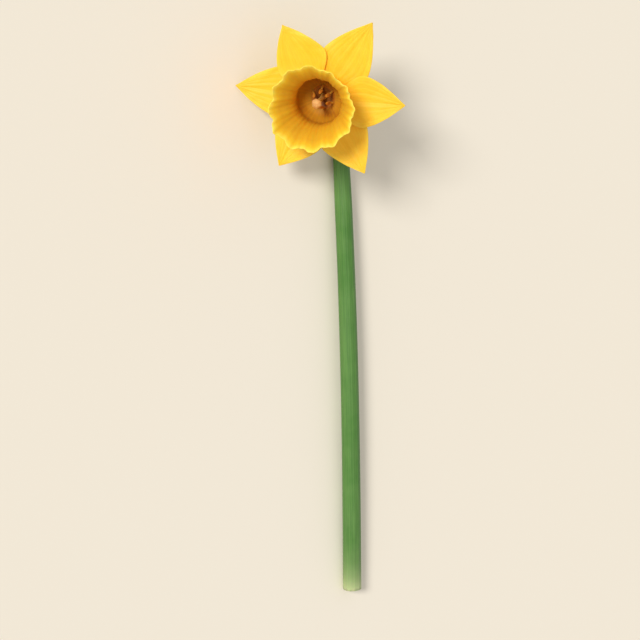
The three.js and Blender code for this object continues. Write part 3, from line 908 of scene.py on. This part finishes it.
def shape_tube(piece):
    points = points_of(piece)
    turn, radius = round_axis(points)
    reach = np.clip((radius - TUBE_NECK_RADIUS) / (TUBE_RIM_RADIUS - TUBE_NECK_RADIUS), 0, 1)
    # floor marks the faces that look up into the throat; they wear the painted shade.
    floor = smooth((normals_of(piece)[:, 2] - 0.1) * 4)
    for step in range(PETAL_COUNT):
        between = first_turn + math.radians(360 / PETAL_COUNT * (step + 0.5))
        away = np.arctan2(np.sin(turn - between), np.cos(turn - between))
        points[:, 2] += FURROW_DEPTH * bell(away, FURROW_WIDTH) * smooth(reach * 3) * (1 - floor)
    set_points(piece, points)
    store(piece, "funnel", turn / FULL_TURN, reach, floor)


tube = spun("floral_tube_funnel", rounded(tube_section(), 2), TUBE_TURN_STEPS)
shape_tube(tube)
hand_over(tube, BLOOM, "floral_tube", TUBE_FINISH)

# %% [markdown]
# ## The stamens
#
# Six stamens stand in a ring in the throat.  Each is a slender filament that carries an
# anther: a long double sac with a groove down its face.  One of each is modelled, on the
# +X side of the axis, and then copied round, each copy with a mesh of its own.
#
# The filament is a small ring of edges that is extruded and scaled up its length.  The
# anther is a ball, drawn long, whose groove is pressed in by formula.

# %% A stalk from a ring


def lofted(name, station, sides, levels):
    """A closed stalk: a ring extruded and scaled through the rule's centres and radii."""
    start, radius = station(0)
    bpy.ops.object.select_all(action="DESELECT")
    bpy.ops.mesh.primitive_circle_add(vertices=sides, radius=radius, location=start, fill_type="NGON")
    piece = bpy.context.object
    piece.name = name
    bpy.ops.object.transform_apply(location=True, rotation=True, scale=True)
    bpy.ops.object.mode_set(mode="EDIT")
    bpy.ops.mesh.select_all(action="SELECT")
    for level in range(1, levels + 1):
        centre, wanted = station(level / levels)
        share = wanted / radius
        bpy.ops.mesh.extrude_region_move(TRANSFORM_OT_translate={"value": centre - start})
        bpy.ops.transform.resize(value=(share, share, 1), center_override=centre)
        start, radius = centre, wanted
    bpy.ops.object.mode_set(mode="OBJECT")
    tidy_normals(piece)
    return piece


# %% One stamen
STAMEN_COUNT = 6
STAMEN_RING = 4.7 * MM
FILAMENT_FOOT = -2.6 * MM
FILAMENT_RADIUS = 0.6 * MM
FILAMENT_BOW = 0.25 * MM
ANTHER_START = 1.5 * MM
ANTHER_LENGTH = 7 * MM
ANTHER_RADIUS = 1.05 * MM
ANTHER_FLATNESS = 0.85
ANTHER_BLUNTNESS = 3.5
FACE_GROOVE_DEPTH, FACE_GROOVE_WIDTH = 0.34, 0.34
BACK_GROOVE_DEPTH, BACK_GROOVE_WIDTH = 0.2, 0.3
ANTHER_BOW = 0.35 * MM
ANTHER_LEAN = 0.6 * MM


def filament():
    foot = Vector((STAMEN_RING + 1.5 * MM, 0, FILAMENT_FOOT))
    top = Vector((STAMEN_RING + 0.1 * MM, 0, ANTHER_START + 1 * MM))

    def station(share):
        centre = foot.lerp(top, share)
        centre.x += FILAMENT_BOW * math.sin(share * math.pi)
        return centre, FILAMENT_RADIUS * (1.15 - 0.4 * share)

    return lofted("filament_1", station, sides=20, levels=8)


def anther():
    bpy.ops.object.select_all(action="DESELECT")
    bpy.ops.mesh.primitive_uv_sphere_add(segments=32, ring_count=40, radius=ANTHER_RADIUS)
    piece = bpy.context.object
    piece.name = "anther_1"
    points = points_of(piece)
    turn, _ = round_axis(points)
    share = points[:, 2] / ANTHER_RADIUS
    ball = np.maximum(np.sqrt(np.maximum(1 - share**2, 0)), 0.12)
    full = (1 - np.abs(share) ** ANTHER_BLUNTNESS) / ball
    face_groove = FACE_GROOVE_DEPTH * bell(np.sin(turn / 2 + QUARTER_TURN), FACE_GROOVE_WIDTH)
    back_groove = BACK_GROOVE_DEPTH * bell(np.sin(turn / 2), BACK_GROOVE_WIDTH)
    wave = 1 + 0.05 * np.sin(share * 11 + turn)
    points[:, :2] *= (full * (1 - face_groove - back_groove) * wave)[:, None]
    points[:, 0] *= ANTHER_FLATNESS
    points[:, 0] += ANTHER_BOW * (1 - share**2) - ANTHER_LEAN * share - ANTHER_BOW
    points[:, 2] = share * ANTHER_LENGTH / 2
    middle = [STAMEN_RING - 0.2 * MM, 0, ANTHER_START + ANTHER_LENGTH / 2]
    set_points(piece, points + np.array(middle))
    return piece


# %% Six stamens from one


def set_round(first, count, node_name, material):
    """Copies a part round the axis, each copy with its own mesh, and lays them all."""
    name = first.name.rsplit("_", 1)[0]
    for number in range(count, 0, -1):
        piece = first
        if number > 1:
            piece = first.copy()
            piece.data = first.data.copy()
            bpy.context.collection.objects.link(piece)
        piece.name = f"{name}_{number}"
        turn = Matrix.Rotation(FULL_TURN * (number - 0.5) / count, 4, "Z")
        hand_over(piece, BLOOM @ turn, node_name, material)


set_round(filament(), STAMEN_COUNT, "floral_tube", FILAMENT_FINISH)
set_round(anther(), STAMEN_COUNT, "floral_tube", ANTHER_FINISH)

# %% [markdown]
# ## The pistil
#
# The style rises up the middle of the throat and ends in a three-lobed stigma.  Both are
# stalks, so the ring is extruded and scaled again.  The stigma's lobes and its tiny beads
# are then raised by formula.

# %% The pistil
STYLE_RADIUS = 1.5 * MM
STYLE_REACH = 22 * MM
STIGMA_RADIUS = 2.7 * MM
STIGMA_LENGTH = 4 * MM
STIGMA_FOOT = STYLE_REACH - STIGMA_LENGTH
STIGMA_TOP = STYLE_REACH - 0.35 * MM
STIGMA_LOBE = 0.1
STIGMA_FURROW = 0.16
STIGMA_BEAD = 0.035
STIGMA_BEADS_ROUND = 18
STIGMA_BEAD_ROWS = 34
STIGMA_DIMPLE = 0.5 * MM
STIGMA_DIMPLE_WIDTH = 0.9 * MM


def style():
    """The stalk, which ends a little way up inside the stigma."""

    def station(share):
        height = mixed(-TUBE_LENGTH, STIGMA_FOOT + 0.8 * MM, share)
        swell = 1.2 - 0.35 * smooth(share * 3) + 0.15 * smooth((share - 0.8) * 5)
        return Vector((0, 0, height)), STYLE_RADIUS * swell

    return lofted("style_grooved", station, sides=36, levels=20)


def stigma():
    """A knob with three lobes, a furrow between each two, beads, and a dimple on its top."""

    def station(share):
        bulb = math.sin(math.pi * min(0.1 + 0.82 * share, 1)) ** 0.7
        return Vector((0, 0, mixed(STIGMA_FOOT, STIGMA_TOP, share))), STIGMA_RADIUS * max(bulb, 0.2)

    piece = lofted("stigma_three_lobed", station, sides=72, levels=24)
    points = points_of(piece)
    turn, _ = round_axis(points)
    share = (points[:, 2] - STIGMA_FOOT) / (STIGMA_TOP - STIGMA_FOOT)
    lobes = STIGMA_LOBE * np.cos(3 * turn)
    furrows = STIGMA_FURROW * np.abs(np.cos(1.5 * turn)) ** 12 * smooth(share * 2)
    beads = STIGMA_BEAD * np.sin(turn * STIGMA_BEADS_ROUND) * np.sin(share * STIGMA_BEAD_ROWS)
    points[:, :2] *= (1 + (lobes - furrows + beads) * smooth(share * 3))[:, None]
    _, radius = round_axis(points)
    points[:, 2] -= STIGMA_DIMPLE * bell(radius, STIGMA_DIMPLE_WIDTH) * (share > 0.9)
    set_points(piece, points)
    return piece


hand_over(style(), BLOOM, "pistil", STYLE_FINISH)
hand_over(stigma(), BLOOM, "pistil", STIGMA_FINISH)

# %% [markdown]
# ## The finish of the green parts
#
# The stem, the neck and the ovary are the same living green.  It is waxy, so it shines
# softly, and it is striped lengthwise: pale ridges between darker grooves.  Near the cut it
# fades to a juicy pale green, and the pith that shows in the cut is the palest.

# %% The green finish
STEM_GREENS = linear(73, 122, 49), linear(109, 149, 79), linear(55, 101, 39)
OVARY_GREENS = linear(84, 132, 58), linear(122, 164, 88), linear(58, 104, 40)
PITH = linear(206, 214, 158)
STEM_STRIPES = 22
OVARY_RIBS = 18


def green_finish(name, greens, count):
    """A waxy striped green, from a base, a light and a deep tone."""
    material, tree, shader = new_material(name)
    base, light, deep = greens
    around, along, pith = three_numbers(tree, "straight")
    patches, cells = tissue(tree, patches=45, cells=2600)
    ridges, streaks = stripes(tree, around, along, count, stretch=40, wander=0.7)
    colour = tinted(tree, base, patches, 0.45, light)
    colour = tinted(tree, colour, streaks, 0.4, deep)
    colour = tinted(tree, colour, ridges, 0.35, light)
    colour = blend(tree, pith, colour, PITH)
    height = raised(tree, (ridges, 0.8), (cells, 0.2))
    dress(tree, shader, colour, height, patches, roughness=(0.34, 0.5), strength=0.35)
    let_light_in(shader, weight=0.1, depth=1.5 * MM, reach=(0.4, 1.0, 0.2), shine=0.4)
    return material


STEM_FINISH = green_finish("stem_striped_green", STEM_GREENS, STEM_STRIPES)
OVARY_FINISH = green_finish("ovary_green", OVARY_GREENS, OVARY_RIBS)

# %% [markdown]
# ## The stem
#
# The stem rises straight, turns over a tight bend, runs down a slim neck and turns again to
# carry the bloom.  That is a pipe, so it is made as one: a ring of edges is extruded up the
# straight, spun round the bend, extruded down the neck and spun round the knee.
#
# It is modelled as it grows, in the plant's own directions: +Z up and -Y towards the side
# that the bloom faces.  The bloom's place, read from the frame, also gives the plant's.

# %% The line of the stem
STEM_STRAIGHT = 312 * MM
BEND_RADIUS = 5.2 * MM
NECK_DROOP = math.radians(48)
NECK_STRAIGHT = 15 * MM
KNEE_RADIUS = 8 * MM
BLOOM_DROOP = math.radians(2)
OVARY_LENGTH = 19 * MM


def drooping(droop):
    """The way of a line that droops so far below the level, and the way square to it."""
    return (
        Vector((0, -math.cos(droop), -math.sin(droop))),
        Vector((0, -math.sin(droop), math.cos(droop))),
    )


neck_way, neck_side = drooping(NECK_DROOP)
bloom_way, bloom_side = drooping(BLOOM_DROOP)
bend_centre = Vector((0, -BEND_RADIUS, STEM_STRAIGHT))
neck_start = bend_centre + neck_side * BEND_RADIUS
knee_start = neck_start + neck_way * NECK_STRAIGHT
knee_centre = knee_start + neck_side * KNEE_RADIUS
knee_end = knee_centre - bloom_side * KNEE_RADIUS
print("neck from", in_mm(neck_start), "to", in_mm(knee_end), "mm")

# %% The plant's own place
plant_up = -math.sin(BLOOM_DROOP) * axis + math.cos(BLOOM_DROOP) * head
plant_back = -math.cos(BLOOM_DROOP) * axis - math.sin(BLOOM_DROOP) * head
turned = matrix_of(right, plant_back, plant_up, (0, 0, 0))
bloom_seat = knee_end + bloom_way * (CLEAR + OVARY_LENGTH + TUBE_LENGTH)
PLANT = Matrix.Translation(Vector(bloom_origin) - turned @ bloom_seat) @ turned
print("foot of the stem at", in_mm(PLANT.translation), "mm")

# %% A pipe along the line
STEM_SIDES = 96
STALK_STEPS = 156
BEND_STEPS = 44
NECK_STEPS = 12
KNEE_STEPS = 16
NECK_RADIUS = 2.75 * MM


def extrude_steps(whole, count):
    for _ in range(count):
        bpy.ops.mesh.extrude_region_move(TRANSFORM_OT_translate={"value": whole / count})


def stem_pipe():
    bpy.ops.object.select_all(action="DESELECT")
    bpy.ops.mesh.primitive_circle_add(vertices=STEM_SIDES, radius=NECK_RADIUS, fill_type="NOTHING")
    piece = bpy.context.object
    piece.name = "stem_striped"
    bpy.ops.object.mode_set(mode="EDIT")
    bpy.ops.mesh.select_all(action="SELECT")
    extrude_steps(Vector((0, 0, STEM_STRAIGHT)), STALK_STEPS)
    bend = QUARTER_TURN + NECK_DROOP
    bpy.ops.mesh.spin(steps=BEND_STEPS, angle=-bend, center=bend_centre, axis=(1, 0, 0))
    extrude_steps(neck_way * NECK_STRAIGHT, NECK_STEPS)
    knee = BLOOM_DROOP - NECK_DROOP
    bpy.ops.mesh.spin(steps=KNEE_STEPS, angle=-knee, center=knee_centre, axis=(1, 0, 0))
    bpy.ops.object.mode_set(mode="OBJECT")
    return piece


stem = stem_pipe()
print("stem pipe:", len(stem.data.vertices), "points")

# %% [markdown]
# The pipe has one thickness so far.  The real stem thins towards the bend, is slimmest in
# the neck, and has a low ridge along each side with finer ribs between.  So every point is
# matched to the nearest place on the middle line and moved in or out from it.  The stalk
# also bows a little, which lets its middle stand clear of the table.

# %% Places along the middle line
STEM_CUT_RADIUS = 5.1 * MM
STEM_MIDDLE_RADIUS = 4.8 * MM
STEM_TOP_RADIUS = 3.7 * MM
STEM_THINS_FROM = 0.72
NECK_END_RADIUS = 3.4 * MM
STEM_RIDGE = 0.45 * MM
RIDGE_SHARPNESS = 6
NECK_RIDGE = 0.12 * MM


def middle_line():
    """Centres, headings, radii, ridge heights and distances, from the cut to the ovary."""
    rows = []
    for step in range(STALK_STEPS + 1):
        share = step / STALK_STEPS
        lower = mixed(STEM_CUT_RADIUS, STEM_MIDDLE_RADIUS, share)
        thinning = smooth((share - STEM_THINS_FROM) / (1 - STEM_THINS_FROM))
        radius = mixed(lower, STEM_TOP_RADIUS, thinning)
        ridge = STEM_RIDGE * (1 - 0.5 * smooth(share))
        rows.append(((0, 0, STEM_STRAIGHT * share), (0, 0, 1), radius, ridge))
    for step in range(1, BEND_STEPS + 1):
        share = step / BEND_STEPS
        way, side = drooping(mixed(-QUARTER_TURN, NECK_DROOP, share))
        radius = mixed(STEM_TOP_RADIUS, NECK_RADIUS, smooth(share))
        ridge = mixed(STEM_RIDGE / 2, NECK_RIDGE, smooth(share * 2))
        rows.append((bend_centre + side * BEND_RADIUS, way, radius, ridge))
    for step in range(1, NECK_STEPS + 1):
        centre = neck_start.lerp(knee_start, step / NECK_STEPS)
        rows.append((centre, neck_way, NECK_RADIUS, NECK_RIDGE))
    for step in range(1, KNEE_STEPS + 1):
        share = step / KNEE_STEPS
        way, side = drooping(mixed(NECK_DROOP, BLOOM_DROOP, share))
        radius = mixed(NECK_RADIUS, NECK_END_RADIUS, share)
        rows.append((knee_centre - side * KNEE_RADIUS, way, radius, NECK_RIDGE))
    places, headings, radii, ridges = zip(*rows)
    places, headings = (np.array([list(vector) for vector in column]) for column in (places, headings))
    steps = np.linalg.norm(np.diff(places, axis=0), axis=1)
    return places, headings, np.array(radii), np.array(ridges), np.concatenate([[0], np.cumsum(steps)])


centres, headings, radii, ridges, distances = middle_line()
print("middle line:", len(centres), "stations,", round(distances[-1] / MM, 1), "mm long")

# %% Swelling the pipe
STEM_BOW = 3.5 * MM
BOW_TURN = math.radians(48)
GROOVE_DEPTH = 0.07 * MM
FINE_GROOVE_DEPTH = 0.03 * MM
STEM_GROOVES = 12
PALE_CUT = 0.75
PALE_LENGTH = 9 * MM


def nearest_station(points):
    gaps = np.linalg.norm(points[:, None, :] - centres[None, :, :], axis=2)
    return gaps.argmin(1)


def swell_stem(piece):
    points = points_of(piece)
    station = nearest_station(points)
    offset = points - centres[station]
    fronts = np.cross(headings[station], np.array([1.0, 0, 0]))
    turn = np.arctan2((offset * fronts).sum(1), offset[:, 0])
    low_ridge = ridges[station] * np.abs(np.cos(turn)) ** RIDGE_SHARPNESS
    grooves = GROOVE_DEPTH * (1 - np.cos(STEM_GROOVES * turn))
    grooves += FINE_GROOVE_DEPTH * (1 - np.cos(2 * STEM_GROOVES * turn + 1))
    reach = radii[station] + low_ridge - grooves * (radii[station] / STEM_CUT_RADIUS) ** 2
    sides = np.array([[1.0, 0, 0]]) * np.cos(turn)[:, None] + fronts * np.sin(turn)[:, None]
    along = distances[station]
    swollen = centres[station] + sides * reach[:, None]
    bow = STEM_BOW * np.sin(math.pi * np.clip(along / STEM_STRAIGHT, 0, 1))
    swollen[:, 0] += bow * math.sin(BOW_TURN)
    swollen[:, 1] -= bow * math.cos(BOW_TURN)
    set_points(piece, swollen)
    store(piece, "straight", turn / FULL_TURN, along, PALE_CUT * np.exp(-along / PALE_LENGTH))


swell_stem(stem)
print("the stem spans", in_mm(np.ptp(points_of(stem), axis=0)), "mm")

# %% [markdown]
# The far end is closed by a face against the ovary.  At the cut, the stem is a tube: a ring
# of pith round a hollow.  The open ring is filled with one face, and that face is extruded
# on the spot and scaled to the width of the hollow, and then extruded up the stem.  Two
# narrow rings beside each corner keep it crisp where the shading is smooth.

# %% Closing the ends
STEM_HOLLOW_RADIUS = 2.6 * MM
STEM_HOLLOW_DEPTH = 16 * MM
HOLLOW_STEPS = 8
HOLLOW_TAPER = 0.97
CORNER_RING = 0.2 * MM
stem_foot = Vector((0, 0, 0))


def fill_ring(piece, near, how_far):
    """Fills the open ring of edges round a point with one face, and leaves it selected."""
    only(piece)
    bpy.ops.object.mode_set(mode="EDIT")
    bpy.ops.mesh.select_mode(type="EDGE")
    bpy.ops.mesh.select_all(action="DESELECT")
    bpy.ops.mesh.select_non_manifold()
    bpy.ops.object.mode_set(mode="OBJECT")
    points = piece.data.vertices
    for edge in piece.data.edges:
        middle = (points[edge.vertices[0]].co + points[edge.vertices[1]].co) / 2
        edge.select = edge.select and (middle - near).length < how_far
    bpy.ops.object.mode_set(mode="EDIT")
    bpy.ops.mesh.edge_face_add()


def push_face(climb, share):
    """Extrudes the selected face up the stem and scales it about the stem's foot."""
    bpy.ops.mesh.extrude_region_move(TRANSFORM_OT_translate={"value": (0, 0, climb)})
    bpy.ops.transform.resize(value=(share, share, 1), center_override=stem_foot)


def hollow_cut(piece):
    fill_ring(piece, stem_foot, how_far=2 * STEM_CUT_RADIUS)
    radius = STEM_CUT_RADIUS
    for wanted in (radius - CORNER_RING, STEM_HOLLOW_RADIUS + CORNER_RING, STEM_HOLLOW_RADIUS):
        push_face(0, wanted / radius)
        radius = wanted
    for _ in range(HOLLOW_STEPS):
        push_face(STEM_HOLLOW_DEPTH / HOLLOW_STEPS, HOLLOW_TAPER)
    bpy.ops.object.mode_set(mode="OBJECT")


hollow_cut(stem)
fill_ring(stem, knee_end, how_far=2 * NECK_END_RADIUS)
bpy.ops.object.mode_set(mode="OBJECT")
tidy_normals(stem)


def mark_pith(piece):
    """The new points of the cut wear the colour of the pith."""
    points = points_of(piece)
    layer = piece.data.attributes["straight"].data
    values = vectors_of(layer, "vector")
    _, reach = round_axis(points)
    depth = points[:, 2]
    on_cut = (depth < 0.01 * MM) & (reach < STEM_CUT_RADIUS - CORNER_RING / 2)
    in_hollow = (depth < STEM_HOLLOW_DEPTH + 1 * MM) & (reach < STEM_HOLLOW_RADIUS + 0.3 * MM)
    inner = on_cut | in_hollow
    values[inner, 2] = 1
    layer.foreach_set("vector", values.astype(np.float32).ravel())
    print("pith points:", int(inner.sum()))


mark_pith(stem)
hand_over(stem, PLANT, "stem", STEM_FINISH)

# %% [markdown]
# ## The ovary
#
# Behind the floral tube sits the ovary, a chubby green bulb of three blunt lobes with a
# seam between each pair.  A ring is extruded and scaled through its widths, and the lobes,
# the seams and its fine ribs are raised by formula.

# %% The ovary
OVARY_RADIUS = 8 * MM
OVARY_LOBE = 0.55 * MM
OVARY_SEAM = 0.28 * MM
OVARY_RIB = 0.06 * MM
OVARY_SHARES = [0, 0.12, 0.3, 0.5, 0.68, 0.84, 0.95, 0.985]
OVARY_WIDTHS = [0.44, 0.62, 0.9, 1, 0.98, 0.84, 0.62, 0.5]
OVARY_PATTERN_SHIFT = 30 * MM


def soft_line(places, values, wanted):
    """A smooth line through the given values, by blending the slopes at each of them."""
    places = np.array(places)
    values = np.array(values)
    slopes = np.gradient(values, places)
    index = np.clip(np.searchsorted(places, wanted) - 1, 0, len(places) - 2)
    span = places[index + 1] - places[index]
    share = (wanted - places[index]) / span
    first = mixed(values[index], values[index + 1], smooth(share))
    lean_in = slopes[index] * span * share * (1 - share) ** 2
    lean_out = slopes[index + 1] * span * (share - 1) * share**2
    return first + lean_in + lean_out


def ovary_station(share):
    """The middle and the radius of the bulb, from its back to the tube."""
    share = OVARY_SHARES[-1] * share
    width = float(soft_line(OVARY_SHARES, OVARY_WIDTHS, share))
    return Vector((0, 0, OVARY_LENGTH * share - TUBE_LENGTH - OVARY_LENGTH)), OVARY_RADIUS * width


def shape_ovary(piece):
    points = points_of(piece)
    turn, radius = round_axis(points)
    fullness = np.minimum(radius / OVARY_RADIUS, 1)
    lobe = OVARY_LOBE * np.cos(3 * turn + QUARTER_TURN) * fullness
    between_lobes = np.cos(1.5 * turn + QUARTER_TURN / 2 + QUARTER_TURN)
    seam = OVARY_SEAM * bell(between_lobes, 0.12) * fullness**2
    ribs = OVARY_RIB * np.cos(OVARY_RIBS * turn) * fullness
    height = points[:, 2]
    set_points(piece, placed_round(turn, radius + lobe - seam + ribs, height))
    store(piece, "straight", turn / FULL_TURN, height + OVARY_PATTERN_SHIFT, 0)


ovary = lofted("ovary_lobed", ovary_station, sides=144, levels=56)
shape_ovary(ovary)
hand_over(ovary, BLOOM, "ovary", OVARY_FINISH)

# %% [markdown]
# ## The spathe's finish
#
# The spathe is the dry sheath that wrapped the bud.  It is papery: a pale tan, thin enough
# to glow a little, with darker parallel veins, brown flecks and a browner point.

# %% The spathe's finish
SPATHE_TAN = linear(216, 187, 145)
SPATHE_PALE = linear(232, 211, 173)
SPATHE_BROWN = linear(178, 140, 98)
SPATHE_VEINS = 8
SPATHE_FLECKS = 900.0


def spathe_finish():
    material, tree, shader = new_material("spathe_papery_tan")
    side, share, _ = three_numbers(tree, "sheath")
    patches, cells = tissue(tree, patches=160, cells=3000)
    veins, streaks = stripes(tree, side, share, SPATHE_VEINS, stretch=3, wander=0.8)
    place = node(tree, "TexCoord").outputs["Object"]
    speckled = {"Vector": place, "Scale": SPATHE_FLECKS, "Detail": 2.0}
    flecks = node(tree, "TexNoise", speckled).outputs["Fac"]
    colour = blend(tree, patches, SPATHE_TAN, SPATHE_PALE)
    colour = tinted(tree, colour, streaks, 0.22, SPATHE_BROWN)
    colour = tinted(tree, colour, veins, 0.28, SPATHE_BROWN)
    colour = tinted(tree, colour, spread(tree, flecks, 0.62, 0.7), 0.35, SPATHE_BROWN)
    colour = blend(tree, spread(tree, share, 0.6, 1.0, 0.0, 0.5), colour, SPATHE_BROWN)
    height = raised(tree, (veins, 0.8), (cells, 0.2))
    dress(tree, shader, colour, height, patches, roughness=(0.7, 0.85), strength=0.6)
    let_light_in(shader, weight=0.3, depth=1 * MM, reach=(1.0, 0.7, 0.4))
    return material


SPATHE_FINISH = spathe_finish()

# %% [markdown]
# ## The spathe
#
# The sheath clasps the back of the bend and hangs down the stem, free at its point.  Like a
# petal it is a grid placed by a rule, with creases and a curled edge, and then thickened.

# %% The spathe
SPATHE_LENGTH = 33 * MM
SPATHE_WIDTH = 8.4 * MM
SPATHE_THICKNESS = 0.8 * MM
SPATHE_RISE = 3.5 * MM
SPATHE_CLEAR = 0.45 * MM
SPATHE_STANDOFF = 4.2 * MM
SPATHE_CURL = 1.9 * MM
SPATHE_SWAY = 1.2 * MM
SPATHE_TURN = math.radians(52)
SPATHE_TOP_SHARE = 0.78
SPATHE_WIDEST = 0.3
SPATHE_VEIN = 0.14 * MM
SPATHE_CREASE = 0.16 * MM
SPATHE_CREASES, SPATHE_CREASE_SLANT = 21, 5
SPATHE_CRINKLE = 0.1 * MM
SPATHE_CRINKLES, SPATHE_CRINKLE_SLANT = 47, 8
SPATHE_RAGGED_TOP = 0.25 * MM
SPATHE_COLUMNS = 40
SPATHE_ROWS = 110


def spathe_width(share):
    """Blunt at the top, widest a third of the way down, then tapering to the point."""
    opening = mixed(SPATHE_TOP_SHARE, 1, smooth(share / SPATHE_WIDEST))
    down = np.clip((share - SPATHE_WIDEST) / (1 - SPATHE_WIDEST), 0, 1)
    closing = np.maximum(1 - down**1.25, 0.12 * (1 - down**10) + 0.02)
    return np.where(share < SPATHE_WIDEST, opening, closing)


def make_spathe():
    piece, side, share = sheet("spathe_papery", SPATHE_COLUMNS, SPATHE_ROWS)
    outward = np.array([math.sin(SPATHE_TURN), math.cos(SPATHE_TURN), 0])
    across = np.array([math.cos(SPATHE_TURN), -math.sin(SPATHE_TURN), 0])
    half = SPATHE_WIDTH / 2 * spathe_width(share)
    height = STEM_STRAIGHT + SPATHE_RISE - SPATHE_LENGTH * share
    off = STEM_TOP_RADIUS + SPATHE_CLEAR + SPATHE_STANDOFF * share**1.4 + SPATHE_THICKNESS / 2
    curl = SPATHE_CURL * side * side * (half / (SPATHE_WIDTH / 2)) * (1 - share)
    sway = SPATHE_SWAY * np.sin(share * math.pi * 0.9)
    creases = SPATHE_VEIN * np.cos(side * SPATHE_VEINS * math.pi)
    turn = share * SPATHE_CREASES + side * SPATHE_CREASE_SLANT
    creases += SPATHE_CREASE * np.sin(turn) * side
    turn = share * SPATHE_CRINKLES - side * SPATHE_CRINKLE_SLANT
    creases += SPATHE_CRINKLE * np.sin(turn) * np.abs(side)
    creases *= smooth(share * 8)
    points = np.outer(side * half + sway, across) + np.outer(off - curl + creases, outward)
    points[:, 2] = height + SPATHE_RAGGED_TOP * np.sin(side * 5 + 1) * (1 - smooth(share * 12))
    set_points(piece, points)
    store(piece, "sheath", side, share, 0)
    thicken(piece, SPATHE_THICKNESS, 0.75 - 0.35 * np.abs(side) ** 3)
    tidy_normals(piece)
    return piece


hand_over(make_spathe(), PLANT, "spathe", SPATHE_FINISH)

# %% [markdown]
# ## Table, light and camera
#
# The flower lies on a plain cream table, under one broad warm light from the upper left and
# a soft glow from all round, as in a studio.  The camera looks down on it from the side to
# which the bloom turns its face, through a long lens, so that the bloom and the stem take
# the places in the picture that they have in the photo.  The Standard view transform shows
# the colours as they were chosen.

# %% The table
TABLE_CREAM = linear(247, 239, 224)
TABLE_SIZE = 30


def make_table():
    bpy.ops.object.select_all(action="DESELECT")
    bpy.ops.mesh.primitive_plane_add(size=TABLE_SIZE)
    table = bpy.context.object
    table.name = "table"
    material, _, shader = new_material("table_cream")
    shader.inputs["Base Color"].default_value = TABLE_CREAM
    shader.inputs["Roughness"].default_value = 0.9
    shader.inputs["Specular IOR Level"].default_value = 0.1
    table.data.materials.append(material)
    table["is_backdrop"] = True


make_table()

# %% The light
SUN_FROM = Vector((-0.80, 0.36, 0.55))
SUN_STRENGTH = 2.4
SUN_WIDTH = math.radians(14)
SUN_COLOUR = (1.0, 0.975, 0.94)
GLOW_STRENGTH = 0.55
GLOW_COLOUR = (1.0, 0.985, 0.955, 1.0)
WALL_CREAM = linear(242, 232, 213)


def make_light():
    bpy.ops.object.light_add(type="SUN")
    sun = bpy.context.object
    sun.name = "broad_light"
    sun.rotation_euler = SUN_FROM.to_track_quat("Z", "Y").to_euler()
    sun.data.energy = SUN_STRENGTH
    sun.data.angle = SUN_WIDTH
    sun.data.color = SUN_COLOUR


def make_glow():
    """A soft glow lights the flower, while the camera sees a plain cream wall instead."""
    world = bpy.data.worlds.new("studio_glow")
    bpy.context.scene.world = world
    world.use_nodes = True
    tree = world.node_tree
    glow = tree.nodes["Background"]
    glow.inputs["Color"].default_value = GLOW_COLOUR
    glow.inputs["Strength"].default_value = GLOW_STRENGTH
    wall = node(tree, "Background", {"Color": WALL_CREAM})
    seen = node(tree, "LightPath").outputs["Is Camera Ray"]
    both = node(tree, "MixShader", {0: seen, 1: glow.outputs[0], 2: wall.outputs[0]})
    tree.links.new(both.outputs[0], tree.nodes["World Output"].inputs["Surface"])


make_light()
make_glow()

# %% The camera
CAMERA_FROM = Vector((-0.629, 0.221, 0.745)).normalized()
CAMERA_UP = Vector((0.165, 0.975, -0.150))
LENS = 135.0
SENSOR = 36.0
FILL = 0.9


def make_camera():
    """Sets the camera so far off that the flower fills this share of the picture."""
    low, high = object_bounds()
    across = CAMERA_UP.cross(CAMERA_FROM).normalized()
    upright = CAMERA_FROM.cross(across)
    spans = []
    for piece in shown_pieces():
        points = points_of(piece)
        reaches = [points @ np.array(way) for way in (across, upright)]
        spans.append([[reach.min(), reach.max()] for reach in reaches])
    spans = np.array(spans)
    lows, highs = spans[:, :, 0].min(0), spans[:, :, 1].max(0)
    middle = across * (lows[0] + highs[0]) / 2 + upright * (lows[1] + highs[1]) / 2
    middle += CAMERA_FROM * ((low + high) / 2).dot(CAMERA_FROM)
    distance = (highs - lows).max() / FILL / SENSOR * LENS
    bpy.ops.object.camera_add()
    camera = bpy.context.object
    camera.data.lens = LENS
    camera.data.sensor_width = SENSOR
    camera.matrix_world = matrix_of(across, upright, CAMERA_FROM, middle + CAMERA_FROM * distance)
    bpy.context.scene.camera = camera
    print("camera", round(distance, 3), "m away; the flower spans", in_mm(highs - lows), "mm")


make_camera()
bpy.context.scene.view_settings.view_transform = "Standard"
